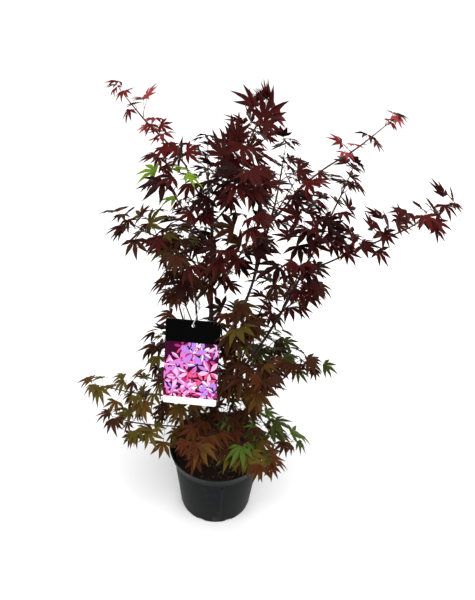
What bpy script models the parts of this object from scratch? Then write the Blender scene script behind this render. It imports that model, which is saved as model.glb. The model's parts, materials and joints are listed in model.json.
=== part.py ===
"""Japanese maple, a young many-stemmed tree in a 19 cm nursery pot with its label tied on.

Metres, +Z up. The origin is the middle of the pot's flat underside. The label faces -Y, and +X is
to the right of someone who reads it. Limbs and foliage are grown by rules from the tables below.
"""
import math
import random
from collections import namedtuple

import bmesh
import bpy
from mathutils import Matrix, Vector
from mathutils.bvhtree import BVHTree
from mathutils.geometry import interpolate_bezier, intersect_point_line

MM = 0.001
GAP = 0.3 * MM
UP = Vector((0, 0, 1))
TURN = 2 * math.pi

# Pot: a blown plastic pot with a stiff collar, drain notches in its foot and a hanging hole.
POT_HEIGHT = 150 * MM
RIM_RADIUS = 95 * MM
COLLAR_DEPTH = 22 * MM
COLLAR_FOOT_RADIUS = 89.5 * MM
BODY_TOP_RADIUS = 86 * MM
BASE_RADIUS = 72 * MM
POT_WALL = 2 * MM
POT_FLOOR = 3 * MM
POT_BEVEL = 1.5 * MM
RIM_OVERHANG = 1.2 * MM
RIM_BEAD = 4 * MM
POT_SIDES = 40
NOTCHES = 8
NOTCH_WIDTH = 13 * MM
NOTCH_HEIGHT = 4 * MM
HANGING_HOLE_RADIUS = 2 * MM
HANGING_HOLE_DROP = 12 * MM
HANGING_HOLE_BEARING = math.radians(279)
CUTTER_DEPTH = 12 * MM

# Compost: fills the pot to a little under the rim, and is heaped slightly round the trunk.
SOIL_LEVEL = 136 * MM
SOIL_EDGE_LEVEL = 132 * MM
SOIL_FLAT_RADIUS = 30 * MM

# Label: a plastic card that leans back on the leaves, hung from a stem by a knotted string.
LABEL_CENTRE = Vector((-47, -92.5, 431)) * MM
LABEL_WIDTH = 90 * MM
LABEL_HEIGHT = 148 * MM
LABEL_THICKNESS = 0.6 * MM
LABEL_CORNER = 3.5 * MM
LABEL_YAW = math.radians(-5.3)
LABEL_LEAN = math.radians(18.2)
LABEL_HOLE_RADIUS = 2.6 * MM
LABEL_HOLE_DROP = 10 * MM
STRING_RADIUS = 0.7 * MM
STRING_SIDES = 6
LOOP_END_STEPS = 6
LOOP_ROUNDING = 2 * MM
KNOT = Vector((-36, -63, 519)) * MM
KNOT_RADIUS = 1.9 * MM
TIE_HEIGHT = 530

# Trunk: one leader from the compost to its fork, swollen at the root, leaning a little to the left.
TRUNK_FOOT = Vector((4, 2, 136.3)) * MM
TRUNK_TOP = Vector((-20, 6, 672)) * MM
TRUNK_LEAN = Vector((-0.12, 0, 1)).normalized()
TRUNK_RADIUS = 6.5 * MM
TRUNK_TOP_RADIUS = 2.4 * MM
ROOT_FLARE = 1.9
ROOT_FLARE_HEIGHT = 30 * MM
TRUNK_SIDES = 10
TRUNK_STEPS = 9

# Limbs: the height in millimetres at which each leaves its parent (None where it carries on from the
# parent's tip), its own tip in millimetres, and its radius in millimetres at foot and tip.
Limb = namedtuple("Limb", "name parent height tip foot_radius tip_radius")
LIMB_SIDES = 6
LIMB_STEP = 45 * MM
LIMB_LIFT = 0.5
LEAVING_ANGLE = math.radians(38)
LIMBS = (
    Limb("stem_right", "trunk", 384, (76, -8, 676), 3.0, 2.0),
    Limb("stem_low_right", "trunk", 272, (137, -22, 594), 3.2, 2.0),
    Limb("stem_left", "trunk", 318, (-47, -40, 566), 2.4, 1.8),
    Limb("bough_spire", "trunk", None, (8, 8, 722), 2.2, 1.7),
    Limb("bough_arch", "trunk", 658, (-62, 6, 734), 2.0, 1.6),
    Limb("bough_front_top", "trunk", 640, (4, -24, 684), 1.9, 1.6),
    Limb("bough_back_top", "trunk", 626, (-26, 34, 664), 1.9, 1.6),
    Limb("bough_upper_left", "trunk", 602, (-48, -16, 644), 1.9, 1.6),
    Limb("bough_left", "trunk", 534, (-66, 10, 584), 2.0, 1.6),
    Limb("bough_front_upper", "trunk", 508, (-4, -28, 546), 1.9, 1.6),
    Limb("bough_upper_right", "stem_right", 654, (108, -2, 702), 1.9, 1.6),
    Limb("bough_back_upper_right", "stem_right", 545, (58, 34, 588), 1.9, 1.6),
    Limb("bough_fork_up", "stem_low_right", 580, (162, 4, 642), 1.9, 1.6),
    Limb("bough_fork_out", "stem_low_right", 574, (186, -34, 608), 1.9, 1.6),
    Limb("bough_front_upper_right", "stem_low_right", 494, (106, -48, 540), 1.9, 1.6),
    Limb("bough_right", "stem_low_right", 440, (100, -4, 474), 1.9, 1.6),
    Limb("bough_back_right", "stem_low_right", 382, (58, 34, 408), 1.9, 1.6),
    Limb("bough_low_right", "stem_low_right", 352, (74, -26, 378), 1.9, 1.6),
    Limb("bough_front_right", "stem_low_right", 324, (34, -38, 350), 1.9, 1.6),
    Limb("bough_mid_left", "stem_left", 402, (-62, -8, 444), 1.9, 1.6),
    Limb("bough_low_left", "trunk", 214, (-60, -26, 286), 2.2, 1.7),
    Limb("bough_back_low_right", "trunk", 240, (44, 42, 300), 2.1, 1.7),
    Limb("bough_back_low_left", "trunk", 224, (-46, 42, 284), 2.1, 1.7),
)

# Foliage: the limb that each mass grows from, the height on it in millimetres (None for its tip), the
# tip of its stem in millimetres, the reach of its lowest side twigs in millimetres, its pairs of side
# shoots, the share of its stem that stays bare, and its leaves as a share of a full-grown one.
Mass = namedtuple("Mass", "name limb height tip reach pairs bare leaf_size")
MASSES = (
    Mass("leaves_spire", "bough_spire", None, (46, 2, 816), 24, 5, 0.02, 0.92),
    Mass("leaves_arch", "bough_arch", None, (-146, -2, 836), 16, 4, 0.05, 0.62),
    Mass("leaves_front_top", "bough_front_top", None, (36, -84, 752), 30, 4, 0.05, 1.0),
    Mass("leaves_back_top", "bough_back_top", None, (-32, 96, 722), 34, 3, 0.05, 1.0),
    Mass("leaves_upper_left", "bough_upper_left", None, (-94, -36, 742), 28, 3, 0.05, 0.95),
    Mass("leaves_left", "bough_left", None, (-150, -4, 640), 28, 4, 0.05, 0.85),
    Mass("leaves_front_upper", "bough_front_upper", None, (40, -96, 680), 32, 4, 0.05, 1.0),
    Mass("leaves_stem_left_top", "stem_left", None, (-66, -96, 622), 28, 3, 0.05, 1.0),
    Mass("leaves_stem_right_top", "stem_right", None, (88, 30, 748), 28, 4, 0.05, 1.0),
    Mass("leaves_upper_right", "bough_upper_right", None, (226, -10, 812), 16, 4, 0.10, 0.66),
    Mass("leaves_back_upper_right", "bough_back_upper_right", None, (112, 104, 664), 34, 3, 0.05, 1.0),
    Mass("leaves_fork_middle", "stem_low_right", None, (134, -30, 676), 28, 4, 0.05, 1.0),
    Mass("leaves_fork_up", "bough_fork_up", None, (190, 14, 722), 26, 3, 0.05, 0.95),
    Mass("leaves_fork_out", "bough_fork_out", None, (322, -44, 700), 24, 5, 0.02, 0.8),
    Mass("leaves_front_upper_right", "bough_front_upper_right", None, (112, -104, 616), 28, 3, 0.05, 1.0),
    Mass("leaves_right", "bough_right", None, (146, 12, 508), 26, 3, 0.05, 1.0),
    Mass("leaves_back_right", "bough_back_right", None, (104, 104, 480), 34, 3, 0.05, 1.0),
    Mass("leaves_low_right", "bough_low_right", None, (154, -50, 398), 28, 3, 0.05, 0.95),
    Mass("leaves_front_right", "bough_front_right", None, (68, -116, 412), 30, 4, 0.05, 1.0),
    Mass("leaves_front_middle", "trunk", 366, (26, -92, 530), 30, 4, 0.30, 1.0),
    Mass("leaves_mid_left", "bough_mid_left", None, (-80, -10, 534), 26, 3, 0.05, 1.0),
    Mass("leaves_back_left", "trunk", 334, (-86, 104, 470), 34, 3, 0.25, 1.0),
    Mass("leaves_back_upper_left", "trunk", 470, (-66, 100, 604), 34, 3, 0.25, 1.0),
    Mass("leaves_low_left", "bough_low_left", None, (-204, -60, 346), 28, 4, 0.05, 0.9),
    Mass("leaves_low_left_front", "trunk", 176, (-176, -92, 302), 28, 3, 0.30, 0.95),
    Mass("leaves_front_low", "trunk", 180, (-40, -112, 262), 28, 4, 0.20, 1.0),
    Mass("leaves_front_right_low", "trunk", 196, (80, -120, 234), 28, 4, 0.20, 1.0),
    Mass("leaves_right_low", "trunk", 226, (126, -72, 240), 28, 4, 0.20, 0.95),
    Mass("leaves_back_low", "trunk", 180, (0, 112, 246), 32, 3, 0.20, 1.0),
    Mass("leaves_back_low_left", "bough_back_low_left", None, (-112, 88, 336), 32, 3, 0.05, 1.0),
    Mass("leaves_back_low_right", "bough_back_low_right", None, (104, 90, 344), 32, 3, 0.05, 1.0),
)
STEM_RADIUS = 1.6 * MM
STEM_TIP_RADIUS = 1.3 * MM
STEM_LIFT = 0.25
STEM_STEP = 36 * MM
TIP_STEM_STEPS = 3
TOP_PAIR = 0.94
PAIR_TURN = 55
PAIR_WOBBLE = 20
TWIG_SIDES = 3
TWIG_RADIUS = 0.8 * MM
TWIG_ANGLE = math.radians(58)
TWIG_LIFT = 0.18
TWIG_SHORTENING = 0.4
TWIG_LENGTHS = (0.8, 1.15)
TWIG_END_TURNS = (-50, 50)
STEM_END_TURNS = (0, -62, 62)
SHARED_SPACE = 14 * MM

# Leaves: five long-pointed lobes on a stalk. Angles are from the middle lobe, lengths are shares of it.
LEAF_LENGTH = 52 * MM
LEAF_THICKNESS = 1.4 * MM
STALK_LENGTH = 27 * MM
STALK_RADIUS = 0.42 * MM
STALK_SPACING = 3 * MM
LOBE_TIPS = ((0, 1.0), (40, 0.94), (82, 0.74))
LOBE_CLEFTS = ((20, 0.38), (61, 0.34))
LEAF_BASE = (150, 0.07)
LEAF_DROOP = 0.22
LEAF_DROOP_POWER = 1.6
LEAF_SIZES = (0.88, 1.08)
STALK_LENGTHS = (0.85, 1.15)
LEAF_CLEARANCE = 1 * MM

# How leaves sit: the shares of each direction in a stalk's way, a blade's facing and its main lobe,
# and how each further try at a crowded place wanders more, with a smaller leaf.
CROWN_HALF_WIDTH = 200 * MM
STALK_RISE = 0.25
FACING_UP = 0.7
FACING_OUT = 0.6
FACING_WANDER = 0.35
MAIN_LOBE_ALONG = 0.8
MAIN_LOBE_OUT = 0.5
MAIN_LOBE_DOWN = 0.3
TRIES = 9
WANDER = 0.25
WANDER_STEP = 0.12
SHRINK_STEP = 0.03

SMOOTH_UNDER = math.radians(40)
FLAT_UNDER = math.radians(0.2)


def start_empty():
    for thing in list(bpy.data.objects):
        bpy.data.objects.remove(thing, do_unlink=True)


def finish(name, colour, roughness, metallic=0.0):
    """A plain material with the colour and gloss of one part."""
    material = bpy.data.materials.new(name)
    material.use_nodes = True
    shader = material.node_tree.nodes["Principled BSDF"]
    shader.inputs["Base Color"].default_value = (*colour, 1)
    shader.inputs["Roughness"].default_value = roughness
    shader.inputs["Metallic"].default_value = metallic
    return material


def add_solid(name, verts, faces, material):
    """An object made from points and faces."""
    mesh = bpy.data.meshes.new(name)
    mesh.from_pydata([tuple(v) for v in verts], [], faces)
    mesh.materials.append(material)
    solid = bpy.data.objects.new(name, mesh)
    bpy.context.scene.collection.objects.link(solid)
    return solid


def smooth(solid):
    """Shades a round piece smooth, except across its sharp edges."""
    solid.data.shade_smooth()
    solid.data.set_sharp_from_angle(angle=SMOOTH_UNDER)


def skin_of(solid):
    """The points and faces of a finished solid, which foliage must clear."""
    return [v.co.copy() for v in solid.data.vertices], [tuple(p.vertices) for p in solid.data.polygons]


def turned(profile, sides):
    """A closed solid of revolution about Z from (radius, height) points that run from axis to axis."""
    verts = []
    faces = []
    rings = []
    for radius, height in profile:
        if radius == 0:
            rings.append([len(verts)] * sides)
            verts.append(Vector((0, 0, height)))
            continue
        rings.append(list(range(len(verts), len(verts) + sides)))
        for k in range(sides):
            angle = TURN * k / sides
            verts.append(Vector((radius * math.cos(angle), radius * math.sin(angle), height)))
    for low, high in zip(rings, rings[1:]):
        for k in range(sides):
            n = (k + 1) % sides
            corners = dict.fromkeys((low[k], low[n], high[n], high[k]))
            faces.append(tuple(corners))
    return verts, faces


def pot_body_radius(height):
    """Outer radius of the tapering body under the collar."""
    share = height / (POT_HEIGHT - COLLAR_DEPTH)
    return BASE_RADIUS + (BODY_TOP_RADIUS - BASE_RADIUS) * share


def cut_away(solid, cutters):
    """Subtracts the cutters from a solid and removes them."""
    for cutter in cutters:
        modifier = solid.modifiers.new("cut", "BOOLEAN")
        modifier.operation = "DIFFERENCE"
        modifier.object = cutter
        bpy.context.view_layer.objects.active = solid
        bpy.ops.object.modifier_apply(modifier=modifier.name)
        bpy.data.objects.remove(cutter, do_unlink=True)


def drill(place, direction, radius, length, sides):
    """A cylindrical cutter through a place, along a direction."""
    bpy.ops.mesh.primitive_cylinder_add(vertices=sides, radius=radius, depth=length)
    cutter = bpy.context.object
    cutter.matrix_world = Matrix.Translation(place) @ direction.to_track_quat("Z", "Y").to_matrix().to_4x4()
    return cutter


def make_pot():
    """The pot: a turned shell with a collar and a beaded rim, notched at its foot."""
    collar_foot = POT_HEIGHT - COLLAR_DEPTH
    under_bead = RIM_RADIUS - RIM_OVERHANG
    profile = [
        (0, 0),
        (BASE_RADIUS - POT_BEVEL, 0),
        (BASE_RADIUS, POT_BEVEL),
        (BODY_TOP_RADIUS, collar_foot - POT_BEVEL),
        (COLLAR_FOOT_RADIUS, collar_foot),
        (under_bead, POT_HEIGHT - RIM_BEAD),
        (RIM_RADIUS, POT_HEIGHT - RIM_BEAD + POT_BEVEL),
        (RIM_RADIUS - POT_BEVEL / 3, POT_HEIGHT),
        (under_bead - POT_WALL, POT_HEIGHT),
        (COLLAR_FOOT_RADIUS - POT_WALL, collar_foot),
        (BODY_TOP_RADIUS - POT_WALL, collar_foot - 2 * POT_BEVEL),
        (pot_body_radius(POT_FLOOR) - POT_WALL, POT_FLOOR),
        (0, POT_FLOOR),
    ]
    pot = add_solid("pot", *turned(profile, POT_SIDES), finish("pot_plastic", (0.03, 0.033, 0.036), 0.42))
    cutters = []
    for k in range(NOTCHES):
        angle = TURN * (k + 0.5) / NOTCHES
        place = Vector((math.cos(angle), math.sin(angle), 0)) * BASE_RADIUS
        bpy.ops.mesh.primitive_cube_add(size=1)
        notch = bpy.context.object
        size = Vector((CUTTER_DEPTH, NOTCH_WIDTH, 2 * NOTCH_HEIGHT))
        notch.matrix_world = Matrix.LocRotScale(place, Matrix.Rotation(angle, 3, "Z").to_quaternion(), size)
        cutters.append(notch)
    outward = Vector((math.cos(HANGING_HOLE_BEARING), math.sin(HANGING_HOLE_BEARING), 0))
    height = collar_foot - HANGING_HOLE_DROP
    place = outward * pot_body_radius(height) + UP * height
    cutters.append(drill(place, outward, HANGING_HOLE_RADIUS, CUTTER_DEPTH, 8))
    cut_away(pot, cutters)
    smooth(pot)
    return pot


def make_soil():
    """The compost inside the pot, GAP clear of its floor and walls."""
    inset = POT_WALL + GAP * 1.5
    foot = POT_FLOOR + GAP
    shoulder = POT_HEIGHT - COLLAR_DEPTH - 2 * POT_BEVEL - GAP
    profile = [
        (0, foot),
        (pot_body_radius(foot) - inset, foot),
        (pot_body_radius(shoulder) - inset, shoulder),
        (BODY_TOP_RADIUS - inset, SOIL_EDGE_LEVEL),
        (SOIL_FLAT_RADIUS, SOIL_LEVEL),
        (0, SOIL_LEVEL),
    ]
    soil = add_solid("soil", *turned(profile, POT_SIDES), finish("compost", (0.03, 0.018, 0.011), 0.95))
    smooth(soil)
    return soil


def bezier_path(start, leaving, tip, arriving, steps):
    """Points on a smooth shoot from start to tip that keeps to the two directions at its ends."""
    handle = (tip - start).length * 0.35
    return interpolate_bezier(start, start + leaving * handle, tip - arriving * handle, tip, steps + 1)


def tangents(points):
    """Direction of a path at each of its points."""
    last = len(points) - 1
    return [(points[min(i + 1, last)] - points[max(i - 1, 0)]).normalized() for i in range(last + 1)]


def along_path(points, radii, spot):
    """Place, direction and radius at a spot on a path, counted in its steps from the foot."""
    i = min(int(spot), len(points) - 2)
    part = spot - i
    place = points[i].lerp(points[i + 1], part)
    return place, (points[i + 1] - points[i]).normalized(), radii[i] + (radii[i + 1] - radii[i]) * part


def spot_at_height(points, height):
    """The spot where a rising path passes a height in millimetres."""
    height *= MM
    i = next(i for i, point in enumerate(points) if point.z > height) - 1
    return i + (height - points[i].z) / (points[i + 1].z - points[i].z)


def tube(points, radii, sides, foot_normal=None):
    """A closed limb across a path. Its foot is cut square, or parallel to its parent's skin."""
    along = tangents(points)
    across = along[0].orthogonal().normalized()
    verts = []
    for i, (place, way, radius) in enumerate(zip(points, along, radii)):
        across = (across - way * across.dot(way)).normalized()
        aside = way.cross(across)
        for k in range(sides):
            angle = TURN * k / sides
            corner = place + (across * math.cos(angle) + aside * math.sin(angle)) * radius
            if i == 0 and foot_normal is not None:
                corner -= way * ((corner - place).dot(foot_normal) / way.dot(foot_normal))
            verts.append(corner)
    faces = [tuple(reversed(range(sides)))]
    for i in range(len(points) - 1):
        for k in range(sides):
            n = (k + 1) % sides
            faces.append((i * sides + k, i * sides + n, (i + 1) * sides + n, (i + 1) * sides + k))
    faces.append(tuple(range(len(verts) - sides, len(verts))))
    return verts, faces


def leave_parent(parent, height, tip, radius, lift, step):
    """Path of a shoot from its parent's skin or cut end to its own tip, and the slant of its foot."""
    points, radii = parent
    spot = len(points) - 1 if height is None else spot_at_height(points, height)
    start, along, parent_radius = along_path(points, radii, spot)
    steps = max(2, round((tip - start).length / step))
    arriving = ((tip - start).normalized() + UP * lift).normalized()
    if height is None:
        start = start + along * GAP
        leaving = (along + (tip - start).normalized()).normalized()
        return bezier_path(start, leaving, tip, arriving, steps), along
    outward = tip - start
    outward = (outward - along * outward.dot(along)).normalized()
    leaving = along * math.cos(LEAVING_ANGLE) + outward * math.sin(LEAVING_ANGLE)
    start = start + outward * (parent_radius + GAP) + along * radius
    return bezier_path(start, leaving, tip, arriving, steps), outward


def tapered(foot_radius, tip_radius, count):
    return [foot_radius + (tip_radius - foot_radius) * i / (count - 1) for i in range(count)]


def make_trunk(bark):
    """The trunk, from a flat cut at soil level with a root flare to its fork."""
    rise = bezier_path(TRUNK_FOOT, TRUNK_LEAN, TRUNK_TOP, UP, TRUNK_STEPS)
    points = [rise[0], *(rise[0].lerp(rise[1], share) for share in (0.13, 0.3)), *rise[1:]]
    radii = []
    for point in points:
        height = point.z - TRUNK_FOOT.z
        share = height / (TRUNK_TOP.z - TRUNK_FOOT.z)
        spread = (ROOT_FLARE - 1) * math.exp(-3 * height / ROOT_FLARE_HEIGHT)
        radii.append((TRUNK_RADIUS + (TRUNK_TOP_RADIUS - TRUNK_RADIUS) * share) * (1 + spread))
    verts, faces = tube(points, radii, TRUNK_SIDES, UP)
    smooth(add_solid("trunk", verts, faces, bark))
    return points, radii, verts, faces


def make_limbs(bark):
    """Trunk and boughs. Returns each limb's path and radii, and the skins that foliage must clear."""
    points, radii, verts, faces = make_trunk(bark)
    paths = {"trunk": (points, radii)}
    skins = [(verts, faces)]
    for limb in LIMBS:
        tip = Vector(limb.tip) * MM
        foot_radius = limb.foot_radius * MM
        path, slant = leave_parent(paths[limb.parent], limb.height, tip, foot_radius, LIMB_LIFT, LIMB_STEP)
        radii = tapered(foot_radius, limb.tip_radius * MM, len(path))
        verts, faces = tube(path, radii, LIMB_SIDES, slant)
        smooth(add_solid(limb.name, verts, faces, bark))
        paths[limb.name] = (path, radii)
        skins.append((verts, faces))
    return paths, skins


def polar(angle, length, height=0.0):
    angle = math.radians(angle)
    return Vector((math.cos(angle) * length, math.sin(angle) * length, height))


def leaf_solid(pose, root, length, thickness, stalk_radius, with_stalk=True):
    """A leaf: a thin five-pointed blade that droops from its middle, tapering into its stalk.

    pose places the blade's middle, with the main lobe on +X and the upper side on +Z. root is where
    the stalk ends inside its twig.
    """
    rim = []
    for (tip_angle, tip_share), (cleft_angle, cleft_share) in zip(LOBE_TIPS[:0:-1], LOBE_CLEFTS[::-1]):
        rim.append((-tip_angle, tip_share))
        rim.append((-cleft_angle, cleft_share))
    rim.append(LOBE_TIPS[0])
    rim += [(-angle, share) for angle, share in reversed(rim[:-1])]
    base_angle, base_share = LEAF_BASE
    rim = [(-base_angle, base_share), *rim, (base_angle, base_share)]
    verts = [Vector((0, 0, thickness / 2)), Vector((0, 0, -thickness / 2))]
    for angle, share in rim:
        verts.append(polar(angle, share * length, -LEAF_DROOP * length * share ** LEAF_DROOP_POWER))
    verts = [pose @ v for v in verts]
    first = 2
    last = len(verts) - 1
    faces = []
    for i in range(first, last):
        faces.append((0, i, i + 1))
        faces.append((1, i + 1, i))
    faces.append((0, last, first))
    if not with_stalk:
        faces.append((1, first, last))
        return verts, faces
    top = [1, first, last]
    middle = sum((verts[k] for k in top), Vector()) / 3
    widest = max((verts[k] - middle).length for k in top)
    foot = [len(verts) + k for k in range(3)]
    verts += [root + (verts[k] - middle) * stalk_radius / widest for k in top]
    for k in range(3):
        n = (k + 1) % 3
        faces.append((top[k], top[n], foot[n], foot[k]))
    faces.append((foot[0], foot[1], foot[2]))
    return verts, faces


def leaf_pose(rng, root, heading, size, wildness):
    """Where a leaf's blade sits at the end of its stalk, and how it faces: up and out of the crown."""
    wander = Vector((rng.uniform(-1, 1), rng.uniform(-1, 1), rng.uniform(-1, 1)))
    stalk = (heading + UP * STALK_RISE + wander * wildness).normalized()
    middle = root + stalk * STALK_LENGTH * size * rng.uniform(*STALK_LENGTHS)
    outward = (middle - TRUNK_TOP) / CROWN_HALF_WIDTH + stalk
    outward = Vector((outward.x, outward.y, 0)).normalized()
    facing = (UP * FACING_UP + outward * FACING_OUT + wander.yzx * FACING_WANDER).normalized()
    main = stalk * MAIN_LOBE_ALONG + outward * MAIN_LOBE_OUT - UP * MAIN_LOBE_DOWN
    main = (main - facing * main.dot(facing)).normalized()
    turn = Matrix((main, facing.cross(main), facing)).transposed()
    return Matrix.Translation(middle) @ turn.to_4x4()


class Space:
    """Keeps each mass of leaves to the part of the crown that is nearest to its own stem."""

    def __init__(self, skins):
        self.axes = {}
        self.kept = [(None, *self.tree(verts, faces)) for verts, faces in skins]

    def tree(self, verts, faces):
        middle = sum(verts, Vector()) / len(verts)
        reach = max((v - middle).length for v in verts)
        return middle, reach, BVHTree.FromPolygons(verts, faces)

    def distance(self, place, axis):
        best = 1.0
        for a, b in zip(axis, axis[1:]):
            nearest, share = intersect_point_line(place, a, b)
            nearest = a if share < 0 else b if share > 1 else nearest
            best = min(best, (place - nearest).length)
        return best

    def owns(self, name, places):
        """Whether all places are as near to this mass's stem as to any other's, or nearly so."""
        for place in places:
            own = self.distance(place, self.axes[name]) - SHARED_SPACE
            if any(self.distance(place, axis) < own for other, axis in self.axes.items() if other != name):
                return False
        return True

    def clear(self, verts, faces, ignore=None):
        """Whether a shape crosses nothing that is kept, apart from what belongs to one mass."""
        middle, reach, tree = self.tree(verts, faces)
        for owner, other_middle, other_reach, other_tree in self.kept:
            if ignore is not None and owner == ignore:
                continue
            if (middle - other_middle).length < reach + other_reach and tree.overlap(other_tree):
                return False
        return True

    def keep(self, name, verts, faces):
        self.kept.append((name, *self.tree(verts, faces)))


def grow_stem(mass, paths):
    """Path, radii and foot slant of the stem that carries one mass."""
    tip = Vector(mass.tip) * MM
    from_tip = (tip - paths[mass.limb][0][-1]).length / TIP_STEM_STEPS
    step = from_tip if mass.height is None else STEM_STEP
    path, slant = leave_parent(paths[mass.limb], mass.height, tip, STEM_RADIUS, STEM_LIFT, step)
    return path, tapered(STEM_RADIUS, STEM_TIP_RADIUS, len(path)), slant


def grow_twigs(mass, stem, space, rng):
    """The side shoots of a stem, in opposite pairs that each turn a quarter from the pair below.

    Every second pair is of twigs. The others are of leaves that sit on the stem itself.
    Returns the twigs, and the (root, heading) of each leaf.
    """
    path, radii, _ = stem
    twigs = []
    sites = []
    roll = rng.uniform(-PAIR_WOBBLE, PAIR_WOBBLE)
    for pair in range(mass.pairs):
        share = mass.bare + (TOP_PAIR - mass.bare) * pair / mass.pairs
        place, along, _ = along_path(path, radii, share * (len(path) - 1))
        level = along.cross(UP).normalized()
        upright = level.cross(along)
        for side in (1, -1):
            turn = roll + PAIR_TURN * (pair % 2) + rng.uniform(-PAIR_WOBBLE, PAIR_WOBBLE)
            turn = math.radians(turn)
            out = (level * math.cos(turn) + upright * math.sin(turn)) * side
            heading = along * math.cos(TWIG_ANGLE) + out * math.sin(TWIG_ANGLE)
            heading = (heading + UP * TWIG_LIFT).normalized()
            if pair % 2:
                sites.append((place, heading))
                continue
            length = mass.reach * MM * (1 - TWIG_SHORTENING * share) * rng.uniform(*TWIG_LENGTHS)
            twig = [place, place + heading * length]
            verts, faces = tube(twig, [TWIG_RADIUS] * 2, TWIG_SIDES)
            if space.owns(mass.name, twig[1:]) and space.clear(verts, faces, mass.name):
                twigs.append(twig)
                sites += fork(twig[1], heading, TWIG_END_TURNS)
                space.keep(mass.name, verts, faces)
    sites += fork(path[-1], (path[-1] - path[-2]).normalized(), STEM_END_TURNS)
    return twigs, sites


def fork(tip, along, turns):
    """Roots and headings of the leaves that end a twig."""
    for k, turn in enumerate(turns):
        root = tip - along * (TWIG_RADIUS + STALK_SPACING * k)
        yield root, Matrix.Rotation(math.radians(turn), 3, "Z") @ along


def grow_leaves(mass, sites, space, rng):
    """A leaf at each site that has room for one. Each try wanders further, with a smaller leaf."""
    leaves = []
    for root, heading in sites:
        for attempt in range(TRIES):
            size = mass.leaf_size * rng.uniform(*LEAF_SIZES) * (1 - SHRINK_STEP * attempt)
            pose = leaf_pose(rng, root, heading, size, WANDER + WANDER_STEP * attempt)
            length = LEAF_LENGTH * size
            wide_length = length + LEAF_CLEARANCE
            wide_thickness = LEAF_THICKNESS + 2 * LEAF_CLEARANCE
            wide = leaf_solid(pose, root, wide_length, wide_thickness, STALK_RADIUS + GAP)
            blade = leaf_solid(pose, root, wide_length, LEAF_THICKNESS, STALK_RADIUS, False)
            if not space.owns(mass.name, wide[0]) or not space.clear(*wide, mass.name):
                continue
            if not space.clear(*blade):
                continue
            leaves.append(leaf_solid(pose, root, length, LEAF_THICKNESS, STALK_RADIUS))
            space.keep(mass.name, *leaves[-1])
            break
    return leaves


def largest_shell(mesh):
    """Drops loose scraps and fills sealed hollows: only the shell with the largest volume stays."""
    shape = bmesh.new()
    shape.from_mesh(mesh)
    unseen = set(shape.verts)
    shells = []
    while unseen:
        shell = [unseen.pop()]
        for vert in shell:
            for edge in vert.link_edges:
                other = edge.other_vert(vert)
                if other in unseen:
                    unseen.discard(other)
                    shell.append(other)
        shells.append(shell)
    shells.sort(key=lambda shell: -len(shell))
    bmesh.ops.delete(shape, geom=[v for shell in shells[1:] for v in shell], context="VERTS")
    bmesh.ops.dissolve_limit(shape, angle_limit=FLAT_UNDER, verts=shape.verts, edges=shape.edges)
    bmesh.ops.triangulate(shape, faces=shape.faces)
    shape.to_mesh(mesh)
    shape.free()


def fuse(name, parts, material):
    """One solid from a stem and all that grows on it, by a single Boolean union."""
    body = add_solid(name, *parts[0], material)
    group = bpy.data.collections.new(name + "_parts")
    bpy.context.scene.collection.children.link(group)
    for k, (verts, faces) in enumerate(parts[1:]):
        piece = add_solid(f"{name}_{k}", verts, faces, material)
        bpy.context.scene.collection.objects.unlink(piece)
        group.objects.link(piece)
    modifier = body.modifiers.new("fuse", "BOOLEAN")
    modifier.operation = "UNION"
    modifier.operand_type = "COLLECTION"
    modifier.collection = group
    modifier.solver = "MANIFOLD"
    bpy.context.view_layer.objects.active = body
    bpy.ops.object.modifier_apply(modifier=modifier.name)
    for piece in list(group.objects):
        bpy.data.objects.remove(piece, do_unlink=True)
    bpy.data.collections.remove(group)
    largest_shell(body.data)
    return body


def make_foliage(paths, skins):
    """Every mass of leaves: first all stems, then all twigs, then the leaves, so that none meet."""
    space = Space(skins)
    stems = {mass.name: grow_stem(mass, paths) for mass in MASSES}
    for mass in MASSES:
        path = stems[mass.name][0]
        space.axes[mass.name] = path[0 if mass.height is None else 1:]
        space.keep(mass.name, *tube(*stems[mass.name][:2], TWIG_SIDES))
    seeds = {mass.name: random.Random(mass.name) for mass in MASSES}
    shoots = {mass.name: grow_twigs(mass, stems[mass.name], space, seeds[mass.name]) for mass in MASSES}
    leafage = finish("maple_leaf", (0.075, 0.012, 0.013), 0.5)
    for mass in MASSES:
        path, radii, slant = stems[mass.name]
        twigs, sites = shoots[mass.name]
        leaves = grow_leaves(mass, sites, space, seeds[mass.name])
        parts = [tube(path, radii, TWIG_SIDES, slant)]
        parts += [tube(twig, [TWIG_RADIUS] * 2, TWIG_SIDES) for twig in twigs]
        fuse(mass.name, parts + leaves, leafage)


def label_turn():
    """Turns the card's own frame (X right, Y up its face, Z out of its face) into place."""
    upright = Matrix.Rotation(math.pi / 2, 4, "X")
    lean = Matrix.Rotation(-LABEL_LEAN, 4, "X")
    yaw = Matrix.Rotation(LABEL_YAW, 4, "Z")
    return Matrix.Translation(LABEL_CENTRE) @ yaw @ lean @ upright


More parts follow.
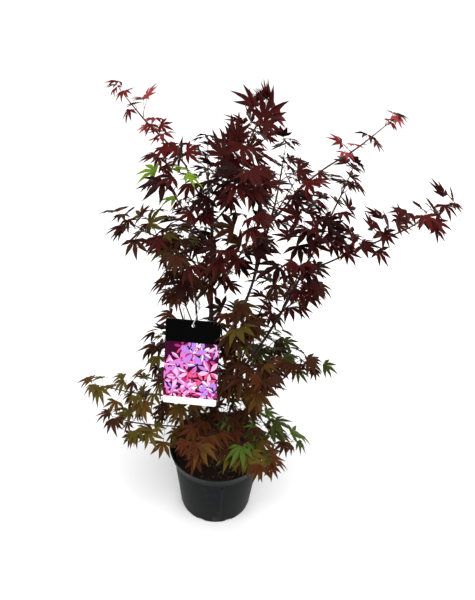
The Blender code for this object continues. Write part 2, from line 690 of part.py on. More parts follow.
def make_label():
    """The card, with round corners and a punched hole."""
    outline = []
    half_width = LABEL_WIDTH / 2 - LABEL_CORNER
    half_height = LABEL_HEIGHT / 2 - LABEL_CORNER
    for quarter, (x, y) in enumerate(((1, 1), (-1, 1), (-1, -1), (1, -1))):
        for step in range(4):
            angle = math.radians(90 * quarter + 30 * step)
            outline.append(Vector((x * half_width + LABEL_CORNER * math.cos(angle),
                                   y * half_height + LABEL_CORNER * math.sin(angle), 0)))
    turn = label_turn()
    count = len(outline)
    half = UP * LABEL_THICKNESS / 2
    verts = [turn @ (p - half) for p in outline] + [turn @ (p + half) for p in outline]
    faces = [tuple(reversed(range(count))), tuple(range(count, 2 * count))]
    faces += [(k, (k + 1) % count, count + (k + 1) % count, count + k) for k in range(count)]
    label = add_solid("label", verts, faces, finish("label_card", (0.55, 0.12, 0.3), 0.35))
    hole = turn @ Vector((0, LABEL_HEIGHT / 2 - LABEL_HOLE_DROP, 0))
    cut_away(label, [drill(hole, turn.to_3x3() @ UP, LABEL_HOLE_RADIUS, CUTTER_DEPTH, 12)])
    return verts, faces


def string_loop(near, far, aside, near_radius, far_radius):
    """A closed string that rounds two places, with its strands either side of the line between."""
    along = (far - near).normalized()
    points = []
    for place, radius, begin in ((far, far_radius, 90), (near, near_radius, 270)):
        for step in range(LOOP_END_STEPS + 1):
            angle = math.radians(begin - 180 * step / LOOP_END_STEPS)
            points.append(place + (along * math.cos(angle) + aside * math.sin(angle)) * radius)
    count = len(points)
    verts = []
    across = along.cross(aside)
    for i, place in enumerate(points):
        way = (points[(i + 1) % count] - points[i - 1]).normalized()
        out = way.cross(across)
        for k in range(STRING_SIDES):
            angle = TURN * k / STRING_SIDES
            verts.append(place + (out * math.cos(angle) + across * math.sin(angle)) * STRING_RADIUS)
    faces = []
    for i in range(count):
        j = (i + 1) % count
        for k in range(STRING_SIDES):
            n = (k + 1) % STRING_SIDES
            low, high = i * STRING_SIDES, j * STRING_SIDES
            faces.append((low + n, low + k, high + k, high + n))
    return verts, faces


def make_tie(paths):
    """The string: one loop through the label's hole, one round the left stem, and the knot."""
    turn = label_turn()
    face_out = turn.to_3x3() @ UP
    card_up = turn.to_3x3() @ Vector((0, 1, 0))
    hole = turn @ Vector((0, LABEL_HEIGHT / 2 - LABEL_HOLE_DROP, 0))
    rest = hole + card_up * (LABEL_HOLE_RADIUS - STRING_RADIUS - GAP + LOOP_ROUNDING)
    toward = (KNOT - rest).normalized()
    aside = (face_out - toward * face_out.dot(toward)).normalized()
    lower = string_loop(rest, KNOT, aside, LOOP_ROUNDING, LOOP_ROUNDING / 2)
    points, radii = paths["stem_left"]
    stem, along, stem_radius = along_path(points, radii, spot_at_height(points, TIE_HEIGHT))
    toward = (stem - KNOT).normalized()
    aside = toward.cross(along).normalized()
    ring = stem_radius + STRING_RADIUS + 2 * GAP
    upper = string_loop(KNOT, stem, aside, LOOP_ROUNDING / 2, ring)
    bpy.ops.mesh.primitive_ico_sphere_add(subdivisions=1, radius=KNOT_RADIUS, location=KNOT)
    ball = bpy.context.object
    ball.data.transform(ball.matrix_world)
    knot = skin_of(ball)
    bpy.data.objects.remove(ball, do_unlink=True)
    tie = fuse("label_tie", [knot, lower, upper], finish("tie_string", (0.8, 0.8, 0.78), 0.8))
    return skin_of(tie)


start_empty()
pot_skin = skin_of(make_pot())
soil_skin = skin_of(make_soil())
limb_paths, limb_skins = make_limbs(finish("maple_bark", (0.035, 0.016, 0.013), 0.6))
label_skin = make_label()
tie_skin = make_tie(limb_paths)
make_foliage(limb_paths, [*limb_skins, pot_skin, soil_skin, label_skin, tie_skin])
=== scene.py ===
"""Dresses the potted Japanese maple: its pot, compost, bark, shoots, leaves, label and string.

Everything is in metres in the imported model's own frame, +Z up, with the label on the -Y side. Places
on the plant are given in millimetres, and the plant grows here by the same rule as its solids.
"""
import json
import math
import random
from collections import namedtuple

import bpy
from mathutils import Matrix, Vector, noise
from mathutils.bvhtree import BVHTree
from mathutils.geometry import interpolate_bezier

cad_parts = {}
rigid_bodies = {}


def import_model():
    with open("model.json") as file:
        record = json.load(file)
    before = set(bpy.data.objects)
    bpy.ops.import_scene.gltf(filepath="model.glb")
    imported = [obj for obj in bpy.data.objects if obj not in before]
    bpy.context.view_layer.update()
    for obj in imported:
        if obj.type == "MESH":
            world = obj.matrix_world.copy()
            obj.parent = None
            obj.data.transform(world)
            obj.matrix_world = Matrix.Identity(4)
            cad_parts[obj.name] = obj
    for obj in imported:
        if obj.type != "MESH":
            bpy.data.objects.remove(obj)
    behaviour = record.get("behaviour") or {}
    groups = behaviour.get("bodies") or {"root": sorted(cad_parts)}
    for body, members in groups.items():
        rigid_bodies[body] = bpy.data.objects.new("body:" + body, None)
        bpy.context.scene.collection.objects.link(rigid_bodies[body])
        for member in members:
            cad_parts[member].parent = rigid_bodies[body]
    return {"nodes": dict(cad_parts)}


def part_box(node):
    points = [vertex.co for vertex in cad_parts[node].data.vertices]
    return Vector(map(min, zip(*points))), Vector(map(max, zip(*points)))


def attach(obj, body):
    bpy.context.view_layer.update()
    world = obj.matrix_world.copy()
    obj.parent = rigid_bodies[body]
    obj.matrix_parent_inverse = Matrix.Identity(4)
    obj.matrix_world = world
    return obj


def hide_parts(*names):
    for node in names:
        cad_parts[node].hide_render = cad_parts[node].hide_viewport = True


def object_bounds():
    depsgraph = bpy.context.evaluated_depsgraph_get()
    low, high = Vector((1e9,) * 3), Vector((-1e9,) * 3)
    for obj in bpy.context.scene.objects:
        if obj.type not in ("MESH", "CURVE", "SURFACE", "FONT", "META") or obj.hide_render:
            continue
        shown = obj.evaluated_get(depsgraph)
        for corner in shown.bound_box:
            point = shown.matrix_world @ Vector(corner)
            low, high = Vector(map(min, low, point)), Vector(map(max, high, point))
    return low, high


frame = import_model()
cad_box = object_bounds()

# ------------------------------------------------------------
# Pot. A round nursery pot, blow-moulded in black plastic: a tapering body, a stiff collar with a rolled
# bead at its lip, drain notches round the foot and one small hanging hole over the mould seam.
MM = 0.001
TURN = 2 * math.pi
UP = Vector((0, 0, 1))
POT_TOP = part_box("pot")[1].z
RIM_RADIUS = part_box("pot")[1].x
RIM_OVERHANG = 1.2 * MM
BEAD_RADIUS = 1.7 * MM
COLLAR_DEPTH = 22 * MM
COLLAR_FOOT_RADIUS = 89.5 * MM
COLLAR_EASE = 0.4 * MM
BODY_TOP_RADIUS = 86 * MM
BASE_RADIUS = 72 * MM
POT_WALL = 2 * MM
POT_FLOOR = 3 * MM
EDGE_ROUNDING = 1 * MM
FOOT_ROUNDING = 2.5 * MM
INNER_ROUNDING = 2 * MM
SHOULDER_DROP = 2 * MM
INNER_SHOULDER_DROP = 3 * MM
NOTCHES = 8
NOTCH_SIZE = (12 * MM, 13 * MM, 8 * MM)
HANGING_HOLE = 2 * MM
HANGING_HOLE_DROP = 12 * MM
DRILL_DEPTH = 12 * MM
SEAM_BEARING = math.radians(279)
SEAM_EDGES = (0.2 * MM, 0.9 * MM)
SEAM_FADE = 4 * MM
SEAM_SIDE = 10 * MM
DUST_HEIGHTS = (4 * MM, 60 * MM)
POT_STEPS = 144


def linked(name, data):
    """A new object in the scene."""
    thing = bpy.data.objects.new(name, data)
    bpy.context.scene.collection.objects.link(thing)
    return thing


def formed(name, verts, edges, faces):
    """A new object from its mesh's points, edges and faces."""
    mesh = bpy.data.meshes.new(name)
    mesh.from_pydata(verts, edges, faces)
    return linked(name, mesh)


def pick_only(piece):
    """Leaves only this object selected, and makes it active."""
    bpy.ops.object.select_all(action="DESELECT")
    piece.select_set(True)
    bpy.context.view_layer.objects.active = piece


def modified(piece, kind, **settings):
    """Applies one modifier to a piece."""
    modifier = piece.modifiers.new(kind.lower(), kind)
    for setting, value in settings.items():
        setattr(modifier, setting, value)
    pick_only(piece)
    bpy.ops.object.modifier_apply(modifier=modifier.name)


def cut_with(piece, *cutters):
    """Cuts each cutter out of a piece and takes the cutters away."""
    for cutter in cutters:
        modified(piece, "BOOLEAN", operation="DIFFERENCE", object=cutter)
        bpy.data.objects.remove(cutter, do_unlink=True)


def rounding(middle_radius, middle_height, radius, begin, end, steps=5):
    """Points of a round corner in (radius, height), between two bearings in degrees."""
    turns = [math.radians(begin + (end - begin) * k / steps) for k in range(steps + 1)]
    return [(middle_radius + math.cos(t) * radius, middle_height + math.sin(t) * radius) for t in turns]


def spun(name, outline):
    """A closed shell, spun round the pot's upright axis from (radius, height) points."""
    shell = formed(name, [(r, 0, z) for r, z in outline], [(k, k + 1) for k in range(len(outline) - 1)], [])
    pick_only(shell)
    bpy.ops.object.mode_set(mode="EDIT")
    bpy.ops.mesh.select_all(action="SELECT")
    bpy.ops.mesh.spin(steps=POT_STEPS, angle=TURN, center=(0, 0, 0), axis=(0, 0, 1))
    bpy.ops.mesh.select_all(action="SELECT")
    bpy.ops.mesh.remove_doubles(threshold=0.001 * MM)
    bpy.ops.mesh.normals_make_consistent(inside=False)
    bpy.ops.object.mode_set(mode="OBJECT")
    return shell


class Amount:
    """A number that varies over a surface. Sums on it add their Math nodes."""

    def __init__(self, finish, socket):
        self.finish = finish
        self.socket = socket

    def sum(self, operation, *terms):
        return self.finish.node("Math", {"operation": operation}, dict(enumerate(terms)))

    def __add__(self, other):
        return self.sum("ADD", self, other)

    def __rsub__(self, other):
        return self.sum("SUBTRACT", other, self)

    def __mul__(self, other):
        return self.sum("MULTIPLY", self, other)

    def __abs__(self):
        return self.sum("ABSOLUTE", self)

    __radd__ = __add__
    __rmul__ = __mul__


class Finish:
    """The material of one kind of piece, built node by node on a Principled shader.

    Shine is the strength of its mirror-like sheen, 0.5 for common materials.
    """

    def __init__(self, name, colour, roughness, shine=0.5):
        self.material = bpy.data.materials.new(name)
        self.material.use_nodes = True
        self.tree = self.material.node_tree
        self.shader = self.tree.nodes["Principled BSDF"]
        self.material.diffuse_color = (*colour, 1)
        self.shader.inputs["Base Color"].default_value = (*colour, 1)
        self.shader.inputs["Roughness"].default_value = roughness
        self.shader.inputs["Specular IOR Level"].default_value = shine

    def node(self, kind, settings=None, sockets=None, output=0):
        """One node: its type, its settings, then the values or links of its sockets."""
        node = self.tree.nodes.new("ShaderNode" + kind)
        for setting, value in (settings or {}).items():
            setattr(node, setting, value)
        for socket, value in (sockets or {}).items():
            if isinstance(value, Amount):
                self.tree.links.new(value.socket, node.inputs[socket])
            else:
                node.inputs[socket].default_value = value
        return Amount(self, node.outputs[output])

    def here(self):
        """The place on the surface, in metres."""
        return self.node("TexCoord", output="Object")

    def along(self, way):
        """How far the place lies along a direction, in metres."""
        return self.node("VectorMath", {"operation": "DOT_PRODUCT"}, {0: self.here(), 1: way}, output=1)

    def mottle(self, scale, detail=3, stretch=(1, 1, 1)):
        """Noise from 0 to 1 with so many lumps a metre, drawn out along the axes with low stretch."""
        drawn = self.node("VectorMath", {"operation": "MULTIPLY"}, {0: self.here(), 1: stretch})
        sockets = {"Vector": drawn, "Scale": scale, "Detail": detail, "Roughness": 0.55}
        return self.node("TexNoise", {}, sockets)

    def ramp(self, amount, low, high):
        """0 to 1 as an amount goes from low to high, smooth and held at both ends."""
        settings = {"interpolation_type": "SMOOTHSTEP"}
        return self.node("MapRange", settings, {"Value": amount, "From Min": low, "From Max": high})

    def tint(self, amount, base, other):
        """One colour turning into the other as an amount goes from 0 to 1."""
        base = base if isinstance(base, Amount) else (*base, 1)
        return self.node("Mix", {"data_type": "RGBA"}, {0: amount, 6: base, 7: (*other, 1)}, output=2)

    def feed(self, socket, amount):
        self.tree.links.new(amount.socket, self.shader.inputs[socket])

    def paint(self, amount, base, other):
        """Feeds the base colour with one colour turning into the other."""
        self.feed("Base Color", self.tint(amount, base, other))

    def relief(self, height, depth, strength=1.0):
        """Bumps as deep as an amount of 1, in metres."""
        bump = self.node("Bump", {}, {"Strength": strength, "Distance": depth, "Height": height})
        self.feed("Normal", bump)

    def on(self, piece):
        piece.data.materials.clear()
        piece.data.materials.append(self.material)


def wears(piece, slot, *nodes):
    """Records what a finished piece rides on and the solids it stands for, which it hides. Its material slot
    is not used.
    """
    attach(piece, "root")
    if nodes:
        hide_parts(*nodes)


def body_radius(height):
    return BASE_RADIUS + (BODY_TOP_RADIUS - BASE_RADIUS) * height / (POT_TOP - COLLAR_DEPTH)


collar_foot = POT_TOP - COLLAR_DEPTH
bead_height = POT_TOP - BEAD_RADIUS
inner_base = body_radius(POT_FLOOR) - POT_WALL - INNER_ROUNDING
pot = spun("nursery_pot", [
    (0, 0),
    *rounding(BASE_RADIUS - FOOT_ROUNDING, FOOT_ROUNDING, FOOT_ROUNDING, -90, 5),
    *rounding(BODY_TOP_RADIUS - EDGE_ROUNDING, collar_foot - SHOULDER_DROP, EDGE_ROUNDING, 0, 40, 2),
    *rounding(COLLAR_FOOT_RADIUS - EDGE_ROUNDING, collar_foot + COLLAR_EASE, EDGE_ROUNDING, -60, 5, 3),
    (RIM_RADIUS - RIM_OVERHANG, bead_height - BEAD_RADIUS - COLLAR_EASE),
    *rounding(RIM_RADIUS - BEAD_RADIUS, bead_height, BEAD_RADIUS, -50, 200, 10),
    (COLLAR_FOOT_RADIUS - POT_WALL, collar_foot),
    (BODY_TOP_RADIUS - POT_WALL, collar_foot - INNER_SHOULDER_DROP),
    *rounding(inner_base, POT_FLOOR + INNER_ROUNDING, INNER_ROUNDING, 0, -90, 3),
    (0, POT_FLOOR),
])
for k in range(NOTCHES):
    bearing = TURN * (k + 0.5) / NOTCHES
    place = (math.cos(bearing) * BASE_RADIUS, math.sin(bearing) * BASE_RADIUS, 0)
    bpy.ops.mesh.primitive_cube_add(size=1, location=place, rotation=(0, 0, bearing), scale=NOTCH_SIZE)
    cut_with(pot, bpy.context.object)
seam_way = Vector((math.cos(SEAM_BEARING), math.sin(SEAM_BEARING), 0))
hole_height = collar_foot - HANGING_HOLE_DROP
bpy.ops.mesh.primitive_cylinder_add(vertices=24, radius=HANGING_HOLE, depth=DRILL_DEPTH,
                                    location=seam_way * body_radius(hole_height) + UP * hole_height,
                                    rotation=(0, math.pi / 2, SEAM_BEARING))
cut_with(pot, bpy.context.object)
bpy.ops.object.shade_smooth_by_angle(angle=math.radians(35))

plastic = Finish("pot_plastic", (0.004, 0.0045, 0.005), 0.38, 0.05)
height_up = plastic.along(UP)
under_collar = 1 - plastic.ramp(height_up, collar_foot - SEAM_FADE, collar_foot)
across_seam = abs(plastic.along((-seam_way.y, seam_way.x, 0)))
seam = (1 - plastic.ramp(across_seam, *SEAM_EDGES)) * under_collar
seam = seam * plastic.ramp(plastic.along(seam_way), 0, SEAM_SIDE)
streaks = plastic.mottle(160, 4, (1, 1, 0.12))
dust = plastic.ramp(plastic.mottle(45, 5), 0.5, 0.8) * (1 - plastic.ramp(height_up, *DUST_HEIGHTS))
scuffs = plastic.ramp(plastic.mottle(70, 6, (1, 1, 2)), 0.6, 0.7) * 0.35
worn = plastic.tint(streaks * 0.5, (0.005, 0.0055, 0.006), (0.011, 0.012, 0.0125))
plastic.paint(dust * 0.3 + scuffs * 0.25, worn, (0.11, 0.10, 0.09))
plastic.feed("Roughness", 0.34 + streaks * 0.14 + dust * 0.25 + scuffs * 0.3)
plastic.relief(plastic.mottle(1400, 2) * 0.1 + plastic.mottle(30, 2, (1, 1, 0.4)) * 0.7 + seam, 0.35 * MM)
plastic.on(pot)
wears(pot, "pot_plastic", "pot")

# ------------------------------------------------------------
# Compost. Dark peaty compost that fills the pot to a finger's width under its rim, heaped a little
# round the trunk, with crumbs of peat and chips of red-brown bark lying loose on it. Its darkness is
# partly the peat's own and partly painted shade, for the shade that falls on it under the leaves.
GAP = 0.3 * MM
SOIL_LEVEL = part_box("soil")[1].z
SOIL_EDGE_LEVEL = SOIL_LEVEL - 4 * MM
SOIL_INSET = POT_WALL + 0.45 * MM
SOIL_SHOULDER = 6 * MM
SOIL_RINGS = 44
LUMP_SIZE = 9 * MM
LUMPINESS = 2.2 * MM
SETTLING = 0.4
CRUMBS = 900
CRUMB_SIZE = 1.5 * MM
CHIPS = 190
CHIP_SIZE = 3.2 * MM
CHIP_LENGTHS = (0.5, 1.4)
CHIP_WIDTHS = (0.4, 0.55)
CHIP_JAGS = (0.75, 1.2)
CHIP_TILTS = (-0.6, 0.6)
STREWN_REACH = 0.97


def soil_height(radius):
    """Height of the compost's even surface at a distance from the axis."""
    return SOIL_LEVEL + (SOIL_EDGE_LEVEL - SOIL_LEVEL) * radius / BODY_TOP_RADIUS


def lumpy(place):
    """A place on the even surface, pushed up or down by the compost's lumps."""
    lump = UP * noise.fractal(Vector(place) / LUMP_SIZE, 0.8, 2.1, 4) * LUMPINESS
    return Vector(place) + lump - UP * LUMPINESS * SETTLING


soil_edge = BODY_TOP_RADIUS - SOIL_INSET
rings = [soil_edge * (1 - k / SOIL_RINGS) for k in range(SOIL_RINGS + 1)]
compost = spun("compost", [
    (0, POT_FLOOR + GAP),
    (body_radius(POT_FLOOR) - SOIL_INSET - EDGE_ROUNDING, POT_FLOOR + GAP),
    (soil_edge, SOIL_EDGE_LEVEL - SOIL_SHOULDER),
    *((ring, soil_height(ring)) for ring in rings),
])
for point in compost.data.vertices:
    if point.co.z > SOIL_EDGE_LEVEL - 1 * MM:
        point.co = lumpy(point.co)
bpy.ops.object.shade_smooth_by_angle(angle=math.radians(50))

# Peat colours: the peat's own dark brown, darkened further as painted shade for the shade under the leaves.
peat = Finish("compost_peat", (0.012, 0.007, 0.005), 0.95, 0.1)
damp = peat.mottle(60, 4)
fibres = peat.mottle(900, 4)
peat.paint(damp * 0.6 + fibres * 0.4, (0.004, 0.003, 0.002), (0.030, 0.016, 0.010))
peat.feed("Roughness", 0.78 + damp * 0.2)
peat.relief(fibres + peat.mottle(250, 3), 1.2 * MM)
peat.on(compost)
wears(compost, "compost", "soil")


def strewn(kind, count, size, flatness):
    """Many small chips of one kind, strewn over the compost and joined into one piece."""
    bpy.ops.object.select_all(action="DESELECT")
    bpy.ops.mesh.primitive_ico_sphere_add(subdivisions=1, radius=1)
    pattern = bpy.context.object
    corners = [v.co.copy() for v in pattern.data.vertices]
    sides = [tuple(p.vertices) for p in pattern.data.polygons]
    bpy.data.objects.remove(pattern, do_unlink=True)
    rng = random.Random(kind)
    verts = []
    faces = []
    for _ in range(count):
        away = soil_edge * STREWN_REACH * math.sqrt(rng.uniform(0.01, 1))
        bearing = rng.uniform(0, TURN)
        place = lumpy((math.cos(bearing) * away, math.sin(bearing) * away, soil_height(away)))
        turn = Matrix.Rotation(rng.uniform(0, TURN), 3, "Z")
        tilt = turn @ Matrix.Rotation(rng.uniform(*CHIP_TILTS), 3, "X")
        chip_length = size * rng.uniform(*CHIP_LENGTHS)
        faces += [tuple(len(verts) + k for k in side) for side in sides]
        for corner in corners:
            jag = rng.uniform(*CHIP_JAGS)
            chip = Vector((corner.x, corner.y * rng.uniform(*CHIP_WIDTHS), corner.z * flatness)) * jag
            verts.append(place + tilt @ chip * chip_length)
    return formed(kind.replace(" ", "_"), verts, [], faces)


crumbs = strewn("peat crumbs", CRUMBS, CRUMB_SIZE, flatness=0.6)
peat.on(crumbs)
wears(crumbs, "compost")
chips = strewn("bark chips", CHIPS, CHIP_SIZE, flatness=0.28)
chipped = Finish("chipped_bark", (0.09, 0.034, 0.018), 0.8)
chipped.paint(chipped.mottle(300, 4), (0.02, 0.008, 0.005), (0.11, 0.042, 0.020))
chipped.relief(chipped.mottle(900, 4, (1, 1, 0.4)), 0.5 * MM)
chipped.on(chips)
wears(chips, "compost")

# ------------------------------------------------------------
# Trunk and boughs. Young maple wood in smooth purple-brown bark: one leader with three stems that leave
# it low down, and boughs that leave them in turn, each swollen a little at its buds and at its collar.
# They are grown by rule, run together as one skin and then roughened.
TRUNK_FOOT = Vector((4, 2, 136.3)) * MM
TRUNK_TOP = Vector((-20, 6, 672)) * MM
TRUNK_LEAN = Vector((-0.12, 0, 1)).normalized()
TRUNK_RADIUS = 6.5 * MM
TRUNK_TOP_RADIUS = 2.4 * MM
TRUNK_STEPS = 9
TRUNK_SIDES = 16
ROOT_FLARE = 1.9
ROOT_FLARE_HEIGHT = 30 * MM
ROOT_FLARE_FALL = 3
ROOT_FLARE_SHARES = (0.13, 0.3)
LEAVING_ANGLE = math.radians(38)
BEND_HANDLE = 0.35
LIMB_LIFT = 0.5
LIMB_STEP = 45 * MM
LIMB_SIDES = 12
LIMB_BURIAL = 1.6
SKIN_STEP = 3 * MM
SKIN_GRAIN = 0.85 * MM
SKIN_EASING = 0.5
SKIN_EASINGS = 4
BUD_SPACING = 38 * MM
BUD_STAGGER = 11 * MM
BUD_SWELLING = 0.16
BUD_HALF_WIDTH = 1.6 * MM
COLLAR_SWELLING = 0.35
COLLAR_FALL = 3
BARK_GRAIN = 3 * MM
BARK_STRETCH = 0.3
BARK_RELIEF = 0.22 * MM

# Each limb leaves its parent at a height (None where it carries on from the parent's tip), and ends at
# its own tip, in millimetres. Its radii at foot and tip are given where it is stouter than the slimmest.
Limb = namedtuple("Limb", "name parent height tip foot_radius tip_radius", defaults=(1.9, 1.6))
LIMBS = [Limb(*row) for row in (
    ("stem_right", "trunk", 384, (76, -8, 676), 3.0, 2.0),
    ("stem_low_right", "trunk", 272, (137, -22, 594), 3.2, 2.0),
    ("stem_left", "trunk", 318, (-47, -40, 566), 2.4, 1.8),
    ("bough_spire", "trunk", None, (8, 8, 722), 2.2, 1.7),
    ("bough_arch", "trunk", 658, (-62, 6, 734), 2.0),
    ("bough_front_top", "trunk", 640, (4, -24, 684)),
    ("bough_back_top", "trunk", 626, (-26, 34, 664)),
    ("bough_upper_left", "trunk", 602, (-48, -16, 644)),
    ("bough_left", "trunk", 534, (-66, 10, 584), 2.0),
    ("bough_front_upper", "trunk", 508, (-4, -28, 546)),
    ("bough_upper_right", "stem_right", 654, (108, -2, 702)),
    ("bough_back_upper_right", "stem_right", 545, (58, 34, 588)),
    ("bough_fork_up", "stem_low_right", 580, (162, 4, 642)),
    ("bough_fork_out", "stem_low_right", 574, (186, -34, 608)),
    ("bough_front_upper_right", "stem_low_right", 494, (106, -48, 540)),
    ("bough_right", "stem_low_right", 440, (100, -4, 474)),
    ("bough_back_right", "stem_low_right", 382, (58, 34, 408)),
    ("bough_low_right", "stem_low_right", 352, (74, -26, 378)),
    ("bough_front_right", "stem_low_right", 324, (34, -38, 350)),
    ("bough_mid_left", "stem_left", 402, (-62, -8, 444)),
    ("bough_low_left", "trunk", 214, (-60, -26, 286), 2.2, 1.7),
    ("bough_back_low_right", "trunk", 240, (44, 42, 300), 2.1, 1.7),
    ("bough_back_low_left", "trunk", 224, (-46, 42, 284), 2.1, 1.7),
)]


def turned(one, other, turn):
    """The direction at an angle from one direction toward another that is square to it."""
    return one * math.cos(turn) + other * math.sin(turn)


def square_to(along, way):
    """A way, leant until it is square to a direction."""
    return (way - along * way.dot(along)).normalized()


def bent(start, leaving, tip, arriving, steps):
    """Points on a smooth shoot from start to tip that keeps to the two directions at its ends."""
    handle = (tip - start).length * BEND_HANDLE
    return interpolate_bezier(start, start + leaving * handle, tip - arriving * handle, tip, steps + 1)


def spot_at(height, points):
    """The spot on a path, counted in its steps from the foot, where it first comes to a height."""
    k = next(k for k, point in enumerate(points) if point.z > height) - 1
    return k + (height - points[k].z) / (points[k + 1].z - points[k].z)


def along_path(points, radii, spot):
    """Place, direction and radius at a spot on a path."""
    k = min(int(spot), len(points) - 2)
    part = spot - k
    place = points[k].lerp(points[k + 1], part)
    return place, (points[k + 1] - points[k]).normalized(), radii[k] + (radii[k + 1] - radii[k]) * part


def leave_parent(parent, height, tip, radius, lift, step):
    """Path of a shoot from its parent's skin or cut end to its own tip."""
    points, radii = parent
    spot = len(points) - 1 if height is None else spot_at(height * MM, points)
    start, along, parent_radius = along_path(points, radii, spot)
    steps = max(2, round((tip - start).length / step))
    arriving = ((tip - start).normalized() + UP * lift).normalized()
    if height is None:
        start = start + along * GAP
        leaving = (along + (tip - start).normalized()).normalized()
    else:
        outward = square_to(along, tip - start)
        leaving = turned(along, outward, LEAVING_ANGLE)
        start = start + outward * (parent_radius + GAP) + along * radius
    return bent(start, leaving, tip, arriving, steps)


def tapered(foot_radius, tip_radius, count):
    return [foot_radius + (tip_radius - foot_radius) * k / (count - 1) for k in range(count)]


def rounded_off(points, radii, step):
    """The same path without its bends' corners, cut into short even steps, with its radius at each."""
    fine_points = []
    fine_radii = []
    last = len(points) - 1
    for k in range(last):
        here, there = points[k], points[k + 1]
        leaving = here + (there - points[max(k - 1, 0)]) / 6
        arriving = there - (points[min(k + 2, last)] - here) / 6
        count = max(1, round((there - here).length / step))
        fine_points += interpolate_bezier(here, leaving, arriving, there, count + 1)[:-1]
        fine_radii += [radii[k] + (radii[k + 1] - radii[k]) * n / count for n in range(count)]
    return fine_points + [points[-1]], fine_radii + [radii[-1]]


class Wood:
    """Points and faces of many shoots of one kind, gathered to be joined into one piece."""

    def __init__(self):
        self.verts = []
        self.faces = []

    def add(self, verts, faces):
        first = len(self.verts)
        self.verts += verts
        self.faces += [tuple(first + k for k in face) for face in faces]

    def tube(self, points, radii, sides):
        """One closed round shoot along a path. Returns its own points and faces."""
        across = (points[1] - points[0]).orthogonal().normalized()
        last = len(points) - 1
        verts = []
        for k, (place, radius) in enumerate(zip(points, radii)):
            way = (points[min(k + 1, last)] - points[max(k - 1, 0)]).normalized()
            across = square_to(way, across)
            aside = way.cross(across)
            verts += [place + turned(across, aside, TURN * n / sides) * radius for n in range(sides)]
        faces = [tuple(reversed(range(sides)))]
        for k in range(last):
            for n in range(sides):
                low, high, m = k * sides, (k + 1) * sides, (n + 1) % sides
                faces.append((low + n, low + m, high + m, high + n))
        faces.append(tuple(range(last * sides, (last + 1) * sides)))
        self.add(verts, faces)
        return verts, faces

    def joined(self, name):
        """All of it as one smooth-shaded object."""
        piece = formed(name, self.verts, [], self.faces)
        piece.data.shade_smooth()
        return piece


def swollen(points, radii, from_bud):
    """Radii that swell at every bud, and at the collar where the limb leaves its parent."""
    thick = []
    run = 0
    for k, radius in enumerate(radii):
        run += (points[k] - points[k - 1]).length if k else 0
        past = (run + from_bud) % BUD_SPACING - BUD_SPACING / 2
        bud = BUD_SWELLING * math.exp(-(past / BUD_HALF_WIDTH) ** 2)
        collar = COLLAR_SWELLING * math.exp(-run / (COLLAR_FALL * radius))
        thick.append(radius * (1 + bud + collar))
    return thick


rise = bent(TRUNK_FOOT, TRUNK_LEAN, TRUNK_TOP, UP, TRUNK_STEPS)
trunk_path = [rise[0], *(rise[0].lerp(rise[1], share) for share in ROOT_FLARE_SHARES), *rise[1:]]
trunk_radii = []
for point in trunk_path:
    height = point.z - TRUNK_FOOT.z
    spread = (ROOT_FLARE - 1) * math.exp(-ROOT_FLARE_FALL * height / ROOT_FLARE_HEIGHT)
    slim = TRUNK_RADIUS + (TRUNK_TOP_RADIUS - TRUNK_RADIUS) * height / (TRUNK_TOP.z - TRUNK_FOOT.z)
    trunk_radii.append(slim * (1 + spread))

wood = Wood()
limb_paths = {"trunk": (trunk_path, trunk_radii)}
into_soil = [trunk_path[0] - UP * LUMPINESS, *trunk_path]
fine, fine_radii = rounded_off(into_soil, [trunk_radii[0], *trunk_radii], SKIN_STEP)
limb_skins = [wood.tube(fine, swollen(fine, fine_radii, 0), TRUNK_SIDES)]
for number, limb in enumerate(LIMBS):
    tip = Vector(limb.tip) * MM
    foot_radius = limb.foot_radius * MM
    path = leave_parent(limb_paths[limb.parent], limb.height, tip, foot_radius, LIMB_LIFT, LIMB_STEP)
    radii = tapered(foot_radius, limb.tip_radius * MM, len(path))
    limb_paths[limb.name] = (path, radii)
    buried = path[0] - (path[1] - path[0]).normalized() * radii[0] * LIMB_BURIAL
    fine, fine_radii = rounded_off([buried, *path], [radii[0], *radii], SKIN_STEP)
    limb_skins.append(wood.tube(fine, swollen(fine, fine_radii, number * BUD_STAGGER), LIMB_SIDES))

bark = wood.joined("maple_bark")
modified(bark, "REMESH", mode="VOXEL", voxel_size=SKIN_GRAIN)
modified(bark, "SMOOTH", factor=SKIN_EASING, iterations=SKIN_EASINGS)
roughed = []
for point, outward in zip(bark.data.vertices, [n.vector.copy() for n in bark.data.vertex_normals]):
    drawn_out = Vector((point.co.x, point.co.y, point.co.z * BARK_STRETCH))
    roughed.extend(point.co + outward * noise.fractal(drawn_out / BARK_GRAIN, 0.9, 2.0, 3) * BARK_RELIEF)
bark.data.vertices.foreach_set("co", roughed)
bark.data.update()
bark.data.shade_smooth()

barked = Finish("young_maple_bark", (0.024, 0.012, 0.010), 0.6, 0.12)
flecks = barked.ramp(barked.mottle(700, 3, (1, 1, 0.5)), 0.60, 0.68)
streaked = barked.mottle(220, 5, (1, 1, 0.15))
skin_colour = barked.tint(streaked, (0.010, 0.005, 0.005), (0.040, 0.019, 0.015))
barked.paint(flecks * 0.5, skin_colour, (0.13, 0.080, 0.058))
barked.feed("Roughness", 0.45 + streaked * 0.25)
barked.relief(streaked + flecks * 0.7, 0.5 * MM)
barked.on(bark)
wears(bark, "maple_bark", "trunk", *(limb.name for limb in LIMBS))

